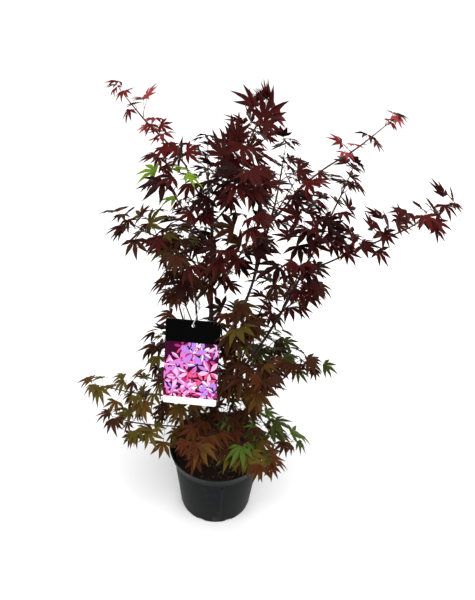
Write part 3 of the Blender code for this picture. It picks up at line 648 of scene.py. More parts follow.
# ------------------------------------------------------------
# Shoots. The season's green-wood shoots that carry the leaves: one stem to each mass, side twigs in
# opposite pairs, and finer spurs between them that are turned on the stem. Their skin is thin, smooth
# and reddish.
STEM_RADIUS = 1.6 * MM
STEM_TIP_RADIUS = 1.3 * MM
STEM_END_RADIUS = 0.65 * MM
STEM_LIFT = 0.25
STEM_STEP = 36 * MM
STEM_SKIN_STEP = 7 * MM
STEM_SIDES = 7
STEM_BURIAL = 3 * MM
STEM_END_TURNS = (0, -62, 62)
STEM_END_YOUTH = 0.6
TIP_STEM_STEPS = 3
TOP_PAIR = 0.94
PAIR_TURN = 55
PAIR_WOBBLE = 20
LAST_PAIR_TURNS = (-70, 70)
LAST_PAIR_YOUTH = 0.35
TWIG_RADIUS = 0.75 * MM
TWIG_TAPER = (1.25, 1, 0.7)
TWIG_SIDES = 5
TWIG_ARCH = 0.05
TWIG_ANGLE = math.radians(58)
TWIG_LIFT = 0.18
TWIG_SHORTENING = 0.4
TWIG_LENGTHS = (0.8, 1.15)
TWIG_END_TURNS = (-50, 50)
TWIG_YOUTH = 0.15
SPUR_LENGTH = 13 * MM
SPUR_LENGTHS = (0.6, 1.3)
SPUR_RADIUS = 0.55 * MM
SPUR_YOUTH = 0.1
TWIGLET_LENGTH = 13 * MM
TWIGLET_LENGTHS = (0.6, 1.25)
TWIGLET_RADIUS = 0.45 * MM
TWIGLET_ANGLE = math.radians(50)
TWIGLET_SPOT = 0.55
TWIGLET_WOBBLE = 40
TWIGLET_YOUTH = 0.25
BRANCHING_REACH = 20
END_LENGTH = 12 * MM

Mass = namedtuple("Mass", "name limb height tip reach pairs bare leaf_size hang fill tints")
Site = namedtuple("Site", "root heading youth")


def clump(name, tip, reach, pairs, leaf_size, hang, fill, tints, bare=0.05, limb=None, height=None):
    """One mass of foliage, which carries on its own bough where it is given no other limb."""
    limb = limb or "bough_" + name
    return Mass("leaves_" + name, limb, height, tip, reach, pairs, bare, leaf_size, hang, fill, tints.split())


# Each mass grows from its bough's tip, or from another limb at a height (None for that limb's tip), to
# the tip of its stem, in millimetres. After the stem's tip stand the reach of its lowest twigs in
# millimetres, its pairs of side shoots, the size of its leaves, how far their lobes point down (up where
# below 0), the share of its finer growth that is there, the tints that its sprays are dealt and, for
# some, the share of its stem that stays bare.
# Sprays dealt the dark tint carry painted shade, for leaves in the crown's shadow.
MASSES = [clump(*row) for row in (
    ("spire", (46, 2, 816), 24, 5, 1.04, -0.55, 0.55, "wine red crimson wine", 0.02),
    ("arch", (-146, -2, 836), 16, 4, 0.66, 0.0, 0.35, "crimson rose red"),
    ("front_top", (36, -84, 752), 30, 4, 0.95, -0.15, 0.4, "wine dark wine dark"),
    ("back_top", (-32, 96, 722), 34, 3, 1.0, 0.1, 0.6, "dark wine dark"),
    ("upper_left", (-94, -36, 742), 28, 3, 0.95, 0.0, 0.15, "wine umber dark lime"),
    ("left", (-150, -4, 640), 28, 4, 0.85, -0.1, 0.7, "umber wine olive"),
    ("front_upper", (40, -96, 680), 32, 4, 1.0, -0.1, 0.8, "wine umber dark"),
    ("stem_left_top", (-66, -96, 622), 28, 3, 0.92, 0.3, 0.1, "umber wine dark", 0.05, "stem_left"),
    ("stem_right_top", (88, 30, 748), 28, 4, 0.85, -0.15, 0.1, "wine dark wine", 0.05, "stem_right"),
    ("upper_right", (226, -10, 812), 16, 4, 0.72, 0.0, 0.35, "wine crimson rose", 0.10),
    ("back_upper_right", (112, 104, 664), 34, 3, 1.0, 0.1, 0.4, "dark wine"),
    ("fork_middle", (134, -30, 676), 28, 4, 1.0, -0.15, 0.6, "wine dark wine", 0.05, "stem_low_right"),
    ("fork_up", (190, 14, 722), 26, 3, 0.85, 0.0, 0.1, "wine umber wine"),
    ("fork_out", (322, -44, 700), 24, 5, 0.9, -0.15, 0.5, "wine crimson wine", 0.02),
    ("front_upper_right", (112, -104, 616), 28, 3, 1.0, 0.15, 0.1, "wine umber dark"),
    ("right", (146, 12, 508), 26, 3, 0.88, 0.15, 0.05, "wine umber russet"),
    ("back_right", (104, 104, 480), 34, 3, 0.9, 0.2, 0.3, "dark umber wine"),
    ("low_right", (154, -50, 398), 28, 3, 0.82, 0.2, 0.4, "umber russet moss"),
    ("front_right", (68, -116, 412), 30, 4, 0.95, 0.2, 1.0, "umber russet bronze"),
    ("front_middle", (26, -92, 530), 30, 4, 1.06, 0.2, 1.0, "umber russet olive dark umber",
     0.30, "trunk", 366),
    ("mid_left", (-80, -10, 534), 26, 3, 0.9, 0.45, 0.3, "umber wine russet"),
    ("back_left", (-86, 104, 470), 34, 3, 0.88, 0.2, 0.1, "dark umber", 0.25, "trunk", 334),
    ("back_upper_left", (-66, 100, 604), 34, 3, 1.0, 0.2, 0.8, "dark wine umber", 0.25, "trunk", 470),
    ("low_left", (-204, -60, 346), 28, 4, 0.86, 0.35, 0.9, "umber bronze olive"),
    ("low_left_front", (-176, -92, 302), 28, 3, 0.9, 0.2, 0.8, "umber bronze olive", 0.30, "trunk", 176),
    ("front_low", (-40, -112, 262), 28, 4, 1.06, 0.35, 1.0, "russet umber russet bronze", 0.20, "trunk", 180),
    ("front_right_low", (80, -120, 234), 28, 4, 0.96, 0.35, 1.0, "bronze olive green russet",
     0.20, "trunk", 196),
    ("right_low", (126, -72, 240), 28, 4, 0.9, 0.3, 1.0, "green moss green umber", 0.20, "trunk", 226),
    ("back_low", (0, 112, 246), 32, 3, 1.0, 0.3, 1.0, "umber moss dark", 0.20, "trunk", 180),
    ("back_low_left", (-112, 88, 336), 32, 3, 1.0, 0.3, 1.0, "umber dark olive"),
    ("back_low_right", (104, 90, 344), 32, 3, 1.0, 0.3, 1.0, "moss umber dark"),
)]


def fork(tip, along, turns, youth):
    """The leaves that end a shoot. The youth of a leaf goes from 0 to 1."""
    root = tip - along * TWIG_RADIUS
    return [Site(root, Matrix.Rotation(math.radians(turn), 3, "Z") @ along, youth) for turn in turns]


def sprig(foot, tip, way, radius, youth):
    """A side shoot that ends in a pair of leaves."""
    return (foot, tip, radius), fork(tip, way, TWIG_END_TURNS, youth)


def grow_stem(mass):
    tip = Vector(mass.tip) * MM
    step = STEM_STEP
    if mass.height is None:
        step = (tip - limb_paths[mass.limb][0][-1]).length / TIP_STEM_STEPS
    path = leave_parent(limb_paths[mass.limb], mass.height, tip, STEM_RADIUS, STEM_LIFT, step)
    return path, tapered(STEM_RADIUS, STEM_TIP_RADIUS, len(path))


def aside_from(along, degrees):
    """A direction square to a shoot, turned about the shoot from the level."""
    level = along.cross(UP).normalized()
    return turned(level, level.cross(along), math.radians(degrees))


def grow_twiglets(place, heading, finer, fill):
    """A pair of the finest shoots, which leave a twig on opposite sides and end in a pair of leaves."""
    aside = aside_from(heading, finer.uniform(-TWIGLET_WOBBLE, TWIGLET_WOBBLE))
    sprays = []
    for side in (1, -1):
        if finer.random() <= fill:
            way = turned(heading, aside * side, TWIGLET_ANGLE).normalized()
            tip = place + way * TWIGLET_LENGTH * finer.uniform(*TWIGLET_LENGTHS)
            sprays.append(sprig(place, tip, way, TWIGLET_RADIUS, TWIGLET_YOUTH))
    return sprays


def grow_sprays(mass, path, radii):
    """The sprays of one stem: for each, its shoot (or None) and the sites of its leaves.

    The first generator makes the twigs that the solids have too. The second adds the finer growth.
    """
    rng = random.Random(mass.name)
    finer = random.Random(mass.name + " finer")
    sprays = []
    roll = rng.uniform(-PAIR_WOBBLE, PAIR_WOBBLE)
    last = len(path) - 1
    for pair in range(mass.pairs):
        share = mass.bare + (TOP_PAIR - mass.bare) * pair / mass.pairs
        place, along, _ = along_path(path, radii, share * last)
        for side in (1, -1):
            turn = roll + PAIR_TURN * (pair % 2) + rng.uniform(-PAIR_WOBBLE, PAIR_WOBBLE)
            out = aside_from(along, turn) * side
            heading = (turned(along, out, TWIG_ANGLE) + UP * TWIG_LIFT).normalized()
            if pair % 2:
                if finer.random() <= mass.fill:
                    tip = place + heading * SPUR_LENGTH * finer.uniform(*SPUR_LENGTHS)
                    sprays.append(sprig(place, tip, heading, SPUR_RADIUS, SPUR_YOUTH))
                continue
            length = mass.reach * MM * (1 - TWIG_SHORTENING * share) * rng.uniform(*TWIG_LENGTHS)
            tip = place + heading * length
            sprays.append(sprig(place, tip, heading, TWIG_RADIUS, TWIG_YOUTH))
            if mass.reach > BRANCHING_REACH:
                sprays += grow_twiglets(place.lerp(tip, TWIGLET_SPOT), heading, finer, mass.fill)
        if finer.random() > mass.fill:
            continue
        between = share + (TOP_PAIR - mass.bare) / mass.pairs * 0.5
        place, along, _ = along_path(path, radii, between * last)
        out = aside_from(along, finer.uniform(0, 180))
        ways = [(along * 0.5 + out * side).normalized() for side in (1, -1)]
        sprays.append((None, [Site(place, way, 0) for way in ways]))
    end_way = (path[-1] - path[-2]).normalized()
    tip = path[-1] + end_way * END_LENGTH
    last_pair = fork(path[-1], end_way, LAST_PAIR_TURNS, LAST_PAIR_YOUTH)
    sites = fork(tip, end_way, STEM_END_TURNS, STEM_END_YOUTH) + last_pair
    sprays.append(((path[-1], tip, SPUR_RADIUS), sites))
    return sprays


shoots = Wood()
shoot_skins = []
sprays = {}
for mass in MASSES:
    path, radii = grow_stem(mass)
    sprays[mass.name] = grow_sprays(mass, path, radii)
    buried = path[0] - (path[1] - path[0]).normalized() * STEM_BURIAL
    thinned = [*tapered(STEM_RADIUS, STEM_TIP_RADIUS, len(path) - 1), STEM_END_RADIUS]
    fine, fine_radii = rounded_off([buried, *path], [STEM_RADIUS, *thinned], STEM_SKIN_STEP)
    shoot_skins.append(shoots.tube(fine, fine_radii, STEM_SIDES))
    for foot, tip, radius in [shoot for shoot, _ in sprays[mass.name] if shoot]:
        middle = foot.lerp(tip, 0.5) + UP * (tip - foot).length * TWIG_ARCH
        thickness = [radius * share for share in TWIG_TAPER]
        shoot_skins.append(shoots.tube([foot, middle, tip], thickness, TWIG_SIDES))
young_wood = shoots.joined("maple_shoots")
young_skin = Finish("young_shoot_skin", (0.07, 0.026, 0.018), 0.5, 0.12)
young_skin.paint(young_skin.mottle(150, 3), (0.035, 0.013, 0.010), (0.10, 0.036, 0.022))
young_skin.relief(young_skin.mottle(1200, 2), 0.15 * MM)
young_skin.on(young_wood)
foliage = [mass.name for mass in MASSES]
wears(young_wood, "maple_bark", *foliage)

# ------------------------------------------------------------
# Leaves. Maple leaves with five or seven long-pointed lobes cut deep between, thin and a little glossy,
# each folded along the ribs of its lobes and drooping at its tips, on a thin red stalk. They open bright
# red at the shoots' tips, turn wine-dark in the sun, and bronze or green in the shade low down.
LEAF_LENGTH = 42 * MM
LEAF_SIZES = (0.78, 1.12)
LEAF_SPREADS = (0.94, 1.1)
LEAF_FOLDS = (0.3, 0.8)
LEAF_DROOP = 0.15
LEAF_CREASE = math.radians(22)
HANG_DROOP = 0.6
HANG_WANDER = 0.3
YOUNG_SHRINKING = 0.35
YOUNG_CLOSING = 0.4
YOUNG_DROOP = 0.1
STALK_LENGTH = 26 * MM
STALK_LENGTHS = (0.8, 1.15)
STALK_RADIUS = 0.4 * MM
STALK_FOOT = 1.4
STALK_STEPS = 4
STALK_SIDES = 4
STALK_RISE = 0.45
STALK_END_RISE = 0.25
YOUNG_STALK_SHRINKING = 0.6
LOBES = ((0, 1.0), (37, 0.93), (76, 0.74), (118, 0.38))
SEVEN_LOBED = 0.22
LOBE_STATIONS = ((0.26, None), (0.48, 0.128), (0.76, 0.064))
LOBE_LENGTHS = (0.92, 1.06)
LOBE_CURLS = (-8, 8)
LOBE_DROOPS = (0.7, 1.3)
LOBE_LEAST_WIDTH = 0.35
CLEFT_REACH = 0.25
CLEFT_LIFT = 0.05
BASE_REACH = 0.06
BASE_SPREAD = 1.22
DROOP_POWER = 1.9
CROWN_HALF_WIDTH = 200 * MM
FACING_UP = 1.0
FACING_OUT = 0.25
FACING_WANDER = 0.42
MAIN_LOBE_ALONG = 0.8
MAIN_LOBE_OUT = 0.5
WANDER = 0.25
WANDER_STEP = 0.12
SHRINK_STEP = 0.03
TRIES = 9
BEFORE_CARD = 70 * MM
CARD_CLEARANCE = 4 * MM
CARD_LEAN = 40 * MM
CARD_OVERLAP = 12 * MM
STRAY_LEAF = 0.3
BOX_SLACK = 0.010

TINTS = {
    "rose": (0.30, 0.040, 0.045),
    "red": (0.165, 0.011, 0.011),
    "crimson": (0.080, 0.0072, 0.0062),
    "wine": (0.045, 0.0056, 0.0046),
    # dark is partly the maple's own deep purple and partly painted shade: its sprays stand for leaves in the
    # crown's shadow
    "dark": (0.017, 0.0036, 0.0030),
    "umber": (0.036, 0.011, 0.0040),
    "russet": (0.066, 0.018, 0.0050),
    "bronze": (0.080, 0.037, 0.0062),
    "olive": (0.078, 0.056, 0.0080),
    "moss": (0.036, 0.044, 0.0080),
    "green": (0.060, 0.098, 0.013),
    "lime": (0.17, 0.28, 0.020),
}


class Room:
    """What already stands in the crown, which a new leaf must clear."""

    def __init__(self, skins):
        self.kept = [self.shape(*skin) for skin in skins]

    def shape(self, verts, faces):
        middle = sum(verts, Vector()) / len(verts)
        reach = max((v - middle).length for v in verts)
        return middle, reach, BVHTree.FromPolygons(verts, faces)

    def takes(self, verts, faces):
        """Whether a leaf clears all that stands there. If it does, it stands there too."""
        middle, reach, tree = self.shape(verts, faces)
        for other_middle, other_reach, other_tree in self.kept:
            if (middle - other_middle).length < reach + other_reach and tree.overlap(other_tree):
                return False
        self.kept.append((middle, reach, tree))
        return True


def leaf_blade(lobes, length, spread, droop, fold, rng):
    """Points and faces of one blade: its stalk end at the origin, main lobe on +X, upper side on +Z."""
    bearings = [(-angle * spread, share) for angle, share in lobes[:0:-1]]
    bearings += [(angle * spread, share) for angle, share in lobes]
    verts = [Vector((0, 0, 0))]

    def place(angle, reach, aside, lift, droop):
        angle = math.radians(angle)
        along = Vector((math.cos(angle), math.sin(angle), 0)) * reach
        across = Vector((-math.sin(angle), math.cos(angle), 0)) * aside
        sink = droop * (reach / length) ** DROOP_POWER * length
        verts.append(along + across + UP * (lift - sink))
        return len(verts) - 1

    edges = [bearings[0][0] * BASE_SPREAD]
    edges += [(low[0] + high[0]) / 2 for low, high in zip(bearings, bearings[1:])]
    edges.append(bearings[-1][0] * BASE_SPREAD)
    reaches = [BASE_REACH] + [CLEFT_REACH] * (len(bearings) - 1) + [BASE_REACH]
    lift = fold * CLEFT_LIFT * length
    clefts = [place(way, reach * length, 0, lift, 0) for way, reach in zip(edges, reaches)]
    faces = []
    for k, (angle, share) in enumerate(bearings):
        full = share * length * rng.uniform(*LOBE_LENGTHS)
        curl = rng.uniform(*LOBE_CURLS)
        sinking = droop * rng.uniform(*LOBE_DROOPS)
        right, left = clefts[k], clefts[k + 1]
        rib = 0
        for station, width in LOBE_STATIONS:
            bend = angle + curl * station ** 2
            next_rib = place(bend, station * full, 0, 0, sinking)
            if width is None:
                faces += [(rib, right, next_rib), (rib, next_rib, left)]
                rib = next_rib
                continue
            half = width * length * (LOBE_LEAST_WIDTH + (1 - LOBE_LEAST_WIDTH) * share)
            next_right = place(bend, station * full, -half, fold * half, sinking)
            next_left = place(bend, station * full, half, fold * half, sinking)
            faces += [(rib, right, next_right, next_rib), (rib, next_rib, next_left, left)]
            rib, right, left = next_rib, next_right, next_left
        tip = place(angle + curl, full, 0, 0, sinking)
        faces += [(rib, right, tip), (rib, tip, left)]
    return verts, faces


def leaf_pose(rng, site, size, wildness, hang):
    """Where a blade sits at the end of its stalk, and how it faces: up and out of the crown."""
    wander = Vector((rng.uniform(-1, 1), rng.uniform(-1, 1), rng.uniform(-1, 1)))
    stalk = (site.heading + UP * STALK_RISE + wander * wildness).normalized()
    shrunk = 1 - YOUNG_STALK_SHRINKING * site.youth
    middle = site.root + stalk * (STALK_LENGTH * size * shrunk * rng.uniform(*STALK_LENGTHS))
    outward = (middle - TRUNK_TOP) / CROWN_HALF_WIDTH + stalk
    outward = Vector((outward.x, outward.y, 0)).normalized()
    rising = max(0, -hang)
    facing = UP * (FACING_UP - rising) + outward * (FACING_OUT + rising) + wander.yzx * FACING_WANDER
    facing.normalize()
    main = square_to(facing, stalk * MAIN_LOBE_ALONG + outward * MAIN_LOBE_OUT - UP * hang)
    return middle, Matrix((main, facing.cross(main), facing)).transposed()


def inside_crown(verts):
    """Whether a leaf keeps to the space of the solids that it dresses."""
    sides = [(low, high, BOX_SLACK * (high - low)) for low, high in zip(*cad_box)]
    return all(low - slack < x < high + slack for v in verts for x, (low, high, slack) in zip(v, sides))


def grow_leaf(mass, site, room, rng):
    """One leaf with room for it, as its blade and its stalk's path, or None."""
    for attempt in range(TRIES):
        size = mass.leaf_size * rng.uniform(*LEAF_SIZES) * (1 - SHRINK_STEP * attempt)
        hang = mass.hang + rng.uniform(-HANG_WANDER, HANG_WANDER)
        middle, turn = leaf_pose(rng, site, size, WANDER + WANDER_STEP * attempt, hang)
        lobes = LOBES if rng.random() < SEVEN_LOBED else LOBES[:3]
        length = LEAF_LENGTH * size * (1 - YOUNG_SHRINKING * site.youth)
        spread = rng.uniform(*LEAF_SPREADS) * (1 - YOUNG_CLOSING * site.youth)
        droop = hang * HANG_DROOP + LEAF_DROOP + YOUNG_DROOP * site.youth
        verts, faces = leaf_blade(lobes, length, spread, droop, rng.uniform(*LEAF_FOLDS), rng)
        verts = [middle + turn @ v for v in verts]
        if inside_crown(verts) and room.takes(verts, faces):
            arriving = (turn @ Vector((1, 0, STALK_END_RISE))).normalized()
            return (verts, faces), bent(site.root, site.heading, middle, arriving, STALK_STEPS)
    return None


def skin_of(node):
    """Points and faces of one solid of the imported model."""
    mesh = frame["nodes"][node].data
    return [v.co.copy() for v in mesh.vertices], [tuple(p.vertices) for p in mesh.polygons]


# The space before the card stays free, so that its picture can be seen.
card_low, card_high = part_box("label")
before_card = []
for height, y in ((card_low.z, card_low.y), (card_high.z, card_low.y + CARD_LEAN)):
    for x in (card_low.x, card_high.x - CARD_OVERLAP):
        before_card.append(Vector((x, y - CARD_CLEARANCE, height)))
        before_card.append(Vector((x, y - BEFORE_CARD, height + BEFORE_CARD)))
box_sides = [(0, 1, 3, 2), (4, 6, 7, 5), (0, 2, 6, 4), (1, 5, 7, 3), (0, 4, 5, 1), (2, 3, 7, 6)]
solids = [skin_of(node) for node in ("pot", "soil", "label", "label_tie")]
room = Room([*limb_skins, *solids, (before_card, box_sides), *shoot_skins])
blades = {tint: Wood() for tint in TINTS}
stalks = Wood()
stalk_radii = [STALK_RADIUS * STALK_FOOT, *[STALK_RADIUS] * STALK_STEPS]
for mass in MASSES:
    rng = random.Random(mass.name + " leaves")
    for _, sites in sprays[mass.name]:
        spray_tint = rng.choice(mass.tints)
        for site in sites:
            leaf = grow_leaf(mass, site, room, rng)
            if leaf:
                tint = rng.choice(mass.tints) if rng.random() < STRAY_LEAF else spray_tint
                blades[tint].add(*leaf[0])
                stalks.tube(leaf[1], stalk_radii, STALK_SIDES)

for tint, colour in TINTS.items():
    leaves = blades[tint].joined("leaves_" + tint)
    leaves.data.set_sharp_from_angle(angle=LEAF_CREASE)
    leafy = Finish("maple_leaf_" + tint, colour, 0.5, 0.06)
    leafy.feed("Roughness", 0.40 + leafy.mottle(60, 2) * 0.2)
    leafy.relief(leafy.mottle(700, 2), 0.25 * MM, 0.6)
    leafy.on(leaves)
    wears(leaves, "maple_leaf", *foliage)
leaf_stalks = stalks.joined("leaf_stalks")
stalk_skin = Finish("leaf_stalk_skin", (0.18, 0.035, 0.025), 0.45, 0.12)
stalk_skin.paint(stalk_skin.mottle(40, 2), (0.10, 0.020, 0.015), (0.22, 0.07, 0.032))
stalk_skin.on(leaf_stalks)
wears(leaf_stalks, "maple_leaf", *foliage)

# ------------------------------------------------------------
# Label. A plastic plant card with round corners and a punched hole, printed in glossy colour: a black
# head, a picture of pink and lilac blossom, and a plain white foot. It leans back on the leaves.
LABEL_CENTRE = Vector((-47, -92.5, 431)) * MM
LABEL_WIDTH = 90 * MM
LABEL_HEIGHT = 148 * MM
LABEL_THICKNESS = 0.6 * MM
LABEL_CORNER = 3.5 * MM
LABEL_YAW = math.radians(-5.3)
LABEL_LEAN = math.radians(18.2)
LABEL_HOLE_RADIUS = 2.6 * MM
LABEL_HOLE_DROP = 10 * MM
PUNCH_DEPTH = 6 * MM
PICTURE_TOP = 35 * MM
PICTURE_FOOT = -62 * MM
PRINT_RISE = 0.03 * MM
BLOSSOMS = 46
BLOSSOM_RADIUS = 22 * MM
BLOSSOM_SIZES = (0.55, 1.1)
BLOSSOM_SQUASHES = (0.45, 1)
PETALS = 5
HALF_PETAL = ((0.08, 0), (0.42, 0.15), (0.70, 0.17), (1.0, 0.03), (0.93, 0), (0.45, 0))
HALF_PETAL_SHADES = (0, 0, 3)
PRINT_COLOURS = (
    ("orchid", (0.62, 0.16, 0.50)),
    ("lilac", (0.42, 0.20, 0.66)),
    ("rose", (0.66, 0.08, 0.20)),
    ("blush", (0.80, 0.42, 0.60)),
    ("pale", (0.82, 0.74, 0.84)),
    ("magenta", (0.40, 0.02, 0.16)),
)

upright = Matrix.Rotation(math.pi / 2, 4, "X")
lean = Matrix.Rotation(-LABEL_LEAN, 4, "X")
yaw = Matrix.Rotation(LABEL_YAW, 4, "Z")
label_turn = Matrix.Translation(LABEL_CENTRE) @ yaw @ lean @ upright



def sliced(piece, planes, **settings):
    """Cuts a flat piece along planes, each given by a place and the way it faces."""
    pick_only(piece)
    bpy.ops.object.mode_set(mode="EDIT")
    for place, way in planes:
        bpy.ops.mesh.select_all(action="SELECT")
        bpy.ops.mesh.bisect(plane_co=place, plane_no=way, **settings)
    bpy.ops.object.mode_set(mode="OBJECT")


top_edge = ((0, PICTURE_TOP, 0), (0, 1, 0))
foot_edge = ((0, PICTURE_FOOT, 0), (0, -1, 0))
bpy.ops.mesh.primitive_plane_add(size=1)
card = bpy.context.object
card.name = "label_card"
card.scale = (LABEL_WIDTH, LABEL_HEIGHT, 1)
pick_only(card)
bpy.ops.object.transform_apply()
bpy.ops.object.mode_set(mode="EDIT")
bpy.ops.mesh.select_all(action="SELECT")
bpy.ops.mesh.bevel(offset=LABEL_CORNER, segments=6, affect="VERTICES")
bpy.ops.object.mode_set(mode="OBJECT")
sliced(card, (top_edge, foot_edge))
modified(card, "SOLIDIFY", thickness=LABEL_THICKNESS, offset=0)
hole_place = Vector((0, LABEL_HEIGHT / 2 - LABEL_HOLE_DROP, 0))
bpy.ops.mesh.primitive_cylinder_add(vertices=32, radius=LABEL_HOLE_RADIUS, depth=PUNCH_DEPTH,
                                    location=hole_place)
cut_with(card, bpy.context.object)


def printed(name, colour):
    """Gloss print on plastic card."""
    ink = Finish("label_print_" + name, colour, 0.3, 0.02)
    ink.feed("Roughness", 0.24 + ink.mottle(120, 2) * 0.12)
    ink.relief(ink.mottle(40, 2), 0.5 * MM, 0.4)
    return ink


printed("white", (0.80, 0.80, 0.79)).on(card)
for name, colour in (("black", (0.0012, 0.0012, 0.0014)), ("plum", (0.04, 0.003, 0.02))):
    card.data.materials.append(printed(name, colour).material)
for side in card.data.polygons:
    faces_out = side.normal.z > 0.5
    if faces_out and side.center.y > PICTURE_TOP:
        side.material_index = 1
    elif faces_out and side.center.y > PICTURE_FOOT:
        side.material_index = 2
card.data.transform(label_turn)
wears(card, "label_card", "label")


def blossom(verts, faces, inks, rng, height):
    """One flat five-petalled flower of the picture. The halves of a petal may differ in shade."""
    middle = Vector((rng.uniform(-0.5, 0.5) * LABEL_WIDTH, rng.uniform(PICTURE_FOOT, PICTURE_TOP), height))
    radius = BLOSSOM_RADIUS * rng.uniform(*BLOSSOM_SIZES)
    turn = rng.uniform(0, TURN)
    squash = rng.uniform(*BLOSSOM_SQUASHES)
    slant = Matrix.Rotation(rng.uniform(0, math.pi), 3, "Z")
    ink = rng.randrange(len(PRINT_COLOURS))
    for petal in range(PETALS):
        way = Matrix.Rotation(turn + TURN * petal / PETALS, 3, "Z")
        other_ink = (ink + rng.choice(HALF_PETAL_SHADES)) % len(PRINT_COLOURS)
        for side, shade in ((1, ink), (-1, other_ink)):
            first = len(verts)
            for reach, aside in HALF_PETAL:
                flat = way @ (Vector((reach, aside * side, 0)) * radius)
                flat.y *= squash
                verts.append(middle + slant @ flat)
            faces.append(tuple(range(first, len(verts)))[::side])
            inks.append(shade)


rng = random.Random("blossom picture")
verts, faces, inks = [], [], []
for k in range(BLOSSOMS):
    blossom(verts, faces, inks, rng, LABEL_THICKNESS / 2 + PRINT_RISE * (1 + k / BLOSSOMS))
picture = formed("label_picture", verts, [], faces)
for name, colour in PRINT_COLOURS:
    picture.data.materials.append(printed(name, colour).material)
for side, ink in zip(picture.data.polygons, inks):
    side.material_index = ink
side_edges = [((side * LABEL_WIDTH / 2, 0, 0), (side, 0, 0)) for side in (1, -1)]
sliced(picture, (top_edge, foot_edge, *side_edges), clear_outer=True)
picture.data.transform(label_turn)
wears(picture, "label_card")

# ------------------------------------------------------------
# String. White twisted string that hangs the card: one loop through the punched hole, one round the
# left stem, drawn together in a knot with two short cut ends.
STRING_RADIUS = 0.7 * MM
STRING_STEP = 0.7 * MM
STRING_SIDES = 10
KNOT = Vector((-36, -63, 519)) * MM
KNOT_TURNS = 2.6
KNOT_STEPS = 32
KNOT_RADIUS = 1.25 * MM
KNOT_LENGTH = 2.6 * MM
TIE_HEIGHT = 530 * MM
LOOP_ROUNDING = 2 * MM
LOOP_END_STEPS = 10
CUT_ENDS = (Vector((9, -3, 12)) * MM, Vector((-2, -4, 14)) * MM)
CUT_END_FALL = 0.4
CUT_END_STEPS = 8


def looped(near, far, aside, near_radius, far_radius):
    """Places along a closed loop of string that rounds two spots."""
    along = (far - near).normalized()
    places = []
    for spot, radius, begin in ((far, far_radius, 90), (near, near_radius, 270)):
        for k in range(LOOP_END_STEPS + 1):
            turn = math.radians(begin - 180 * k / LOOP_END_STEPS)
            places.append(spot + turned(along, aside, turn) * radius)
    return places + places[:1]


face_out = label_turn.to_3x3() @ UP
card_up = label_turn.to_3x3() @ Vector((0, 1, 0))
rest = label_turn @ hole_place + card_up * (LABEL_HOLE_RADIUS - STRING_RADIUS - GAP + LOOP_ROUNDING)
toward = (KNOT - rest).normalized()
aside = square_to(toward, face_out)
left_stem = limb_paths["stem_left"]
stem_place, stem_way, stem_radius = along_path(*left_stem, spot_at(TIE_HEIGHT, left_stem[0]))
stem_aside = (stem_place - KNOT).normalized().cross(stem_way).normalized()
ring = stem_radius + STRING_RADIUS + 2 * GAP
wound = []
for k in range(KNOT_STEPS + 1):
    around = turned(aside, toward.cross(aside), TURN * KNOT_TURNS * k / KNOT_STEPS)
    wound.append(KNOT + around * KNOT_RADIUS + toward * (k / KNOT_STEPS - 0.5) * KNOT_LENGTH)
routes = [
    looped(rest, KNOT, aside, LOOP_ROUNDING, LOOP_ROUNDING / 2),
    looped(KNOT, stem_place, stem_aside, LOOP_ROUNDING / 2, ring),
    wound,
]
for end in CUT_ENDS:
    way = end.normalized()
    routes.append(bent(KNOT, way, KNOT + end, (way - UP * CUT_END_FALL).normalized(), CUT_END_STEPS))
string = Wood()
for route in routes:
    string.tube(*rounded_off(route, [STRING_RADIUS] * len(route), STRING_STEP), STRING_SIDES)
tie = string.joined("label_string")
cotton = Finish("white_string", (0.78, 0.77, 0.74), 0.85)
cotton.shader.inputs["Sheen Weight"].default_value = 0.2
strands = cotton.node("TexWave", {"bands_direction": "DIAGONAL"},
                      {"Vector": cotton.here(), "Scale": 420, "Distortion": 1.5, "Detail": 2})
cotton.paint(strands, (0.62, 0.61, 0.58), (0.84, 0.83, 0.80))
cotton.relief(strands, 0.3 * MM)
cotton.on(tie)
wears(tie, "tie_string", "label_tie")

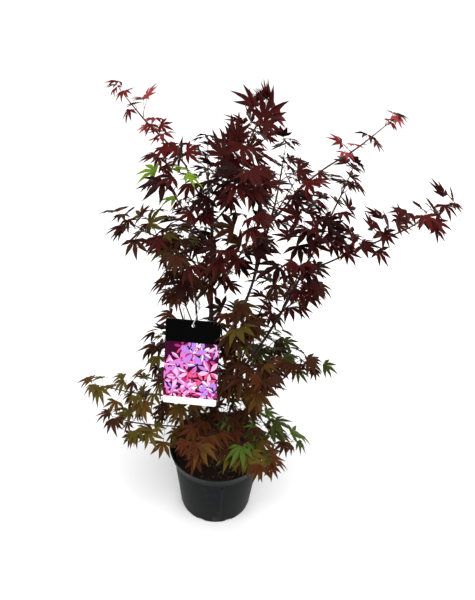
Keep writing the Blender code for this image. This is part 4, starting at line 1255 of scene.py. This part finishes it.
# ------------------------------------------------------------
# Studio. A plain pale floor, soft lights high on both sides, and the camera at a standing person's eye,
# looking down on the plant.
CAMERA_PLACE = Vector((0, -0.929, 1.109))
CAMERA_YAW = math.radians(1.63)
CAMERA_PITCH = math.radians(33.36)
CAMERA_ROLL = math.radians(2.85)
LENS = 39
FLOOR_SIZE = 60
LIT_SPOT = Vector((0, 0, 0.4))
SOFT_LIGHTS = (
    ("left_panel", (-1.9, -0.9, 1.1), 1.2, 16),
    ("right_panel", (2.0, -0.7, 1.0), 1.2, 12),
    ("back_panel", (0.3, 2.0, 1.6), 1.4, 14),
)
CEILING_TURN = (math.radians(24), math.radians(6), 0)
CEILING_SPREAD = math.radians(46)
CEILING_STRENGTH = 2.5
SURROUND = 0.56

bpy.ops.mesh.primitive_plane_add(size=FLOOR_SIZE)
floor = bpy.context.object
floor.name = "studio_floor"
pale = Finish("pale_floor", (0.86, 0.86, 0.86), 0.7)
pale.paint(pale.mottle(2, 2), (0.85, 0.85, 0.85), (0.87, 0.87, 0.87))
pale.on(floor)


def lit(name, kind, energy):
    """A new light of one kind and strength."""
    light = linked(name, bpy.data.lights.new(name, kind))
    light.data.energy = energy
    return light


for name, place, size, power in SOFT_LIGHTS:
    panel = lit(name, "AREA", power)
    panel.data.size = size
    panel.location = place
    panel.rotation_euler = (LIT_SPOT - panel.location).to_track_quat("-Z", "Y").to_euler()
ceiling = lit("ceiling", "SUN", CEILING_STRENGTH)
ceiling.data.angle = CEILING_SPREAD
ceiling.rotation_euler = CEILING_TURN
world = bpy.data.worlds.new("studio")
world.use_nodes = True
background = world.node_tree.nodes["Background"]
background.inputs["Color"].default_value = (1, 1, 1, 1)
background.inputs["Strength"].default_value = SURROUND
bpy.context.scene.world = world
bpy.context.scene.view_settings.view_transform = "Standard"

forward = Vector((math.sin(CAMERA_YAW) * math.cos(CAMERA_PITCH),
                  math.cos(CAMERA_YAW) * math.cos(CAMERA_PITCH), -math.sin(CAMERA_PITCH)))
level_right = Vector((math.cos(CAMERA_YAW), -math.sin(CAMERA_YAW), 0))
level_up = level_right.cross(forward)
right = turned(level_right, level_up, CAMERA_ROLL)
top = turned(level_up, -level_right, CAMERA_ROLL)
camera = linked("camera", bpy.data.cameras.new("camera"))
camera.data.lens = LENS
camera.matrix_world = Matrix.Translation(CAMERA_PLACE) @ Matrix((right, top, -forward)).transposed().to_4x4()
bpy.context.scene.camera = camera
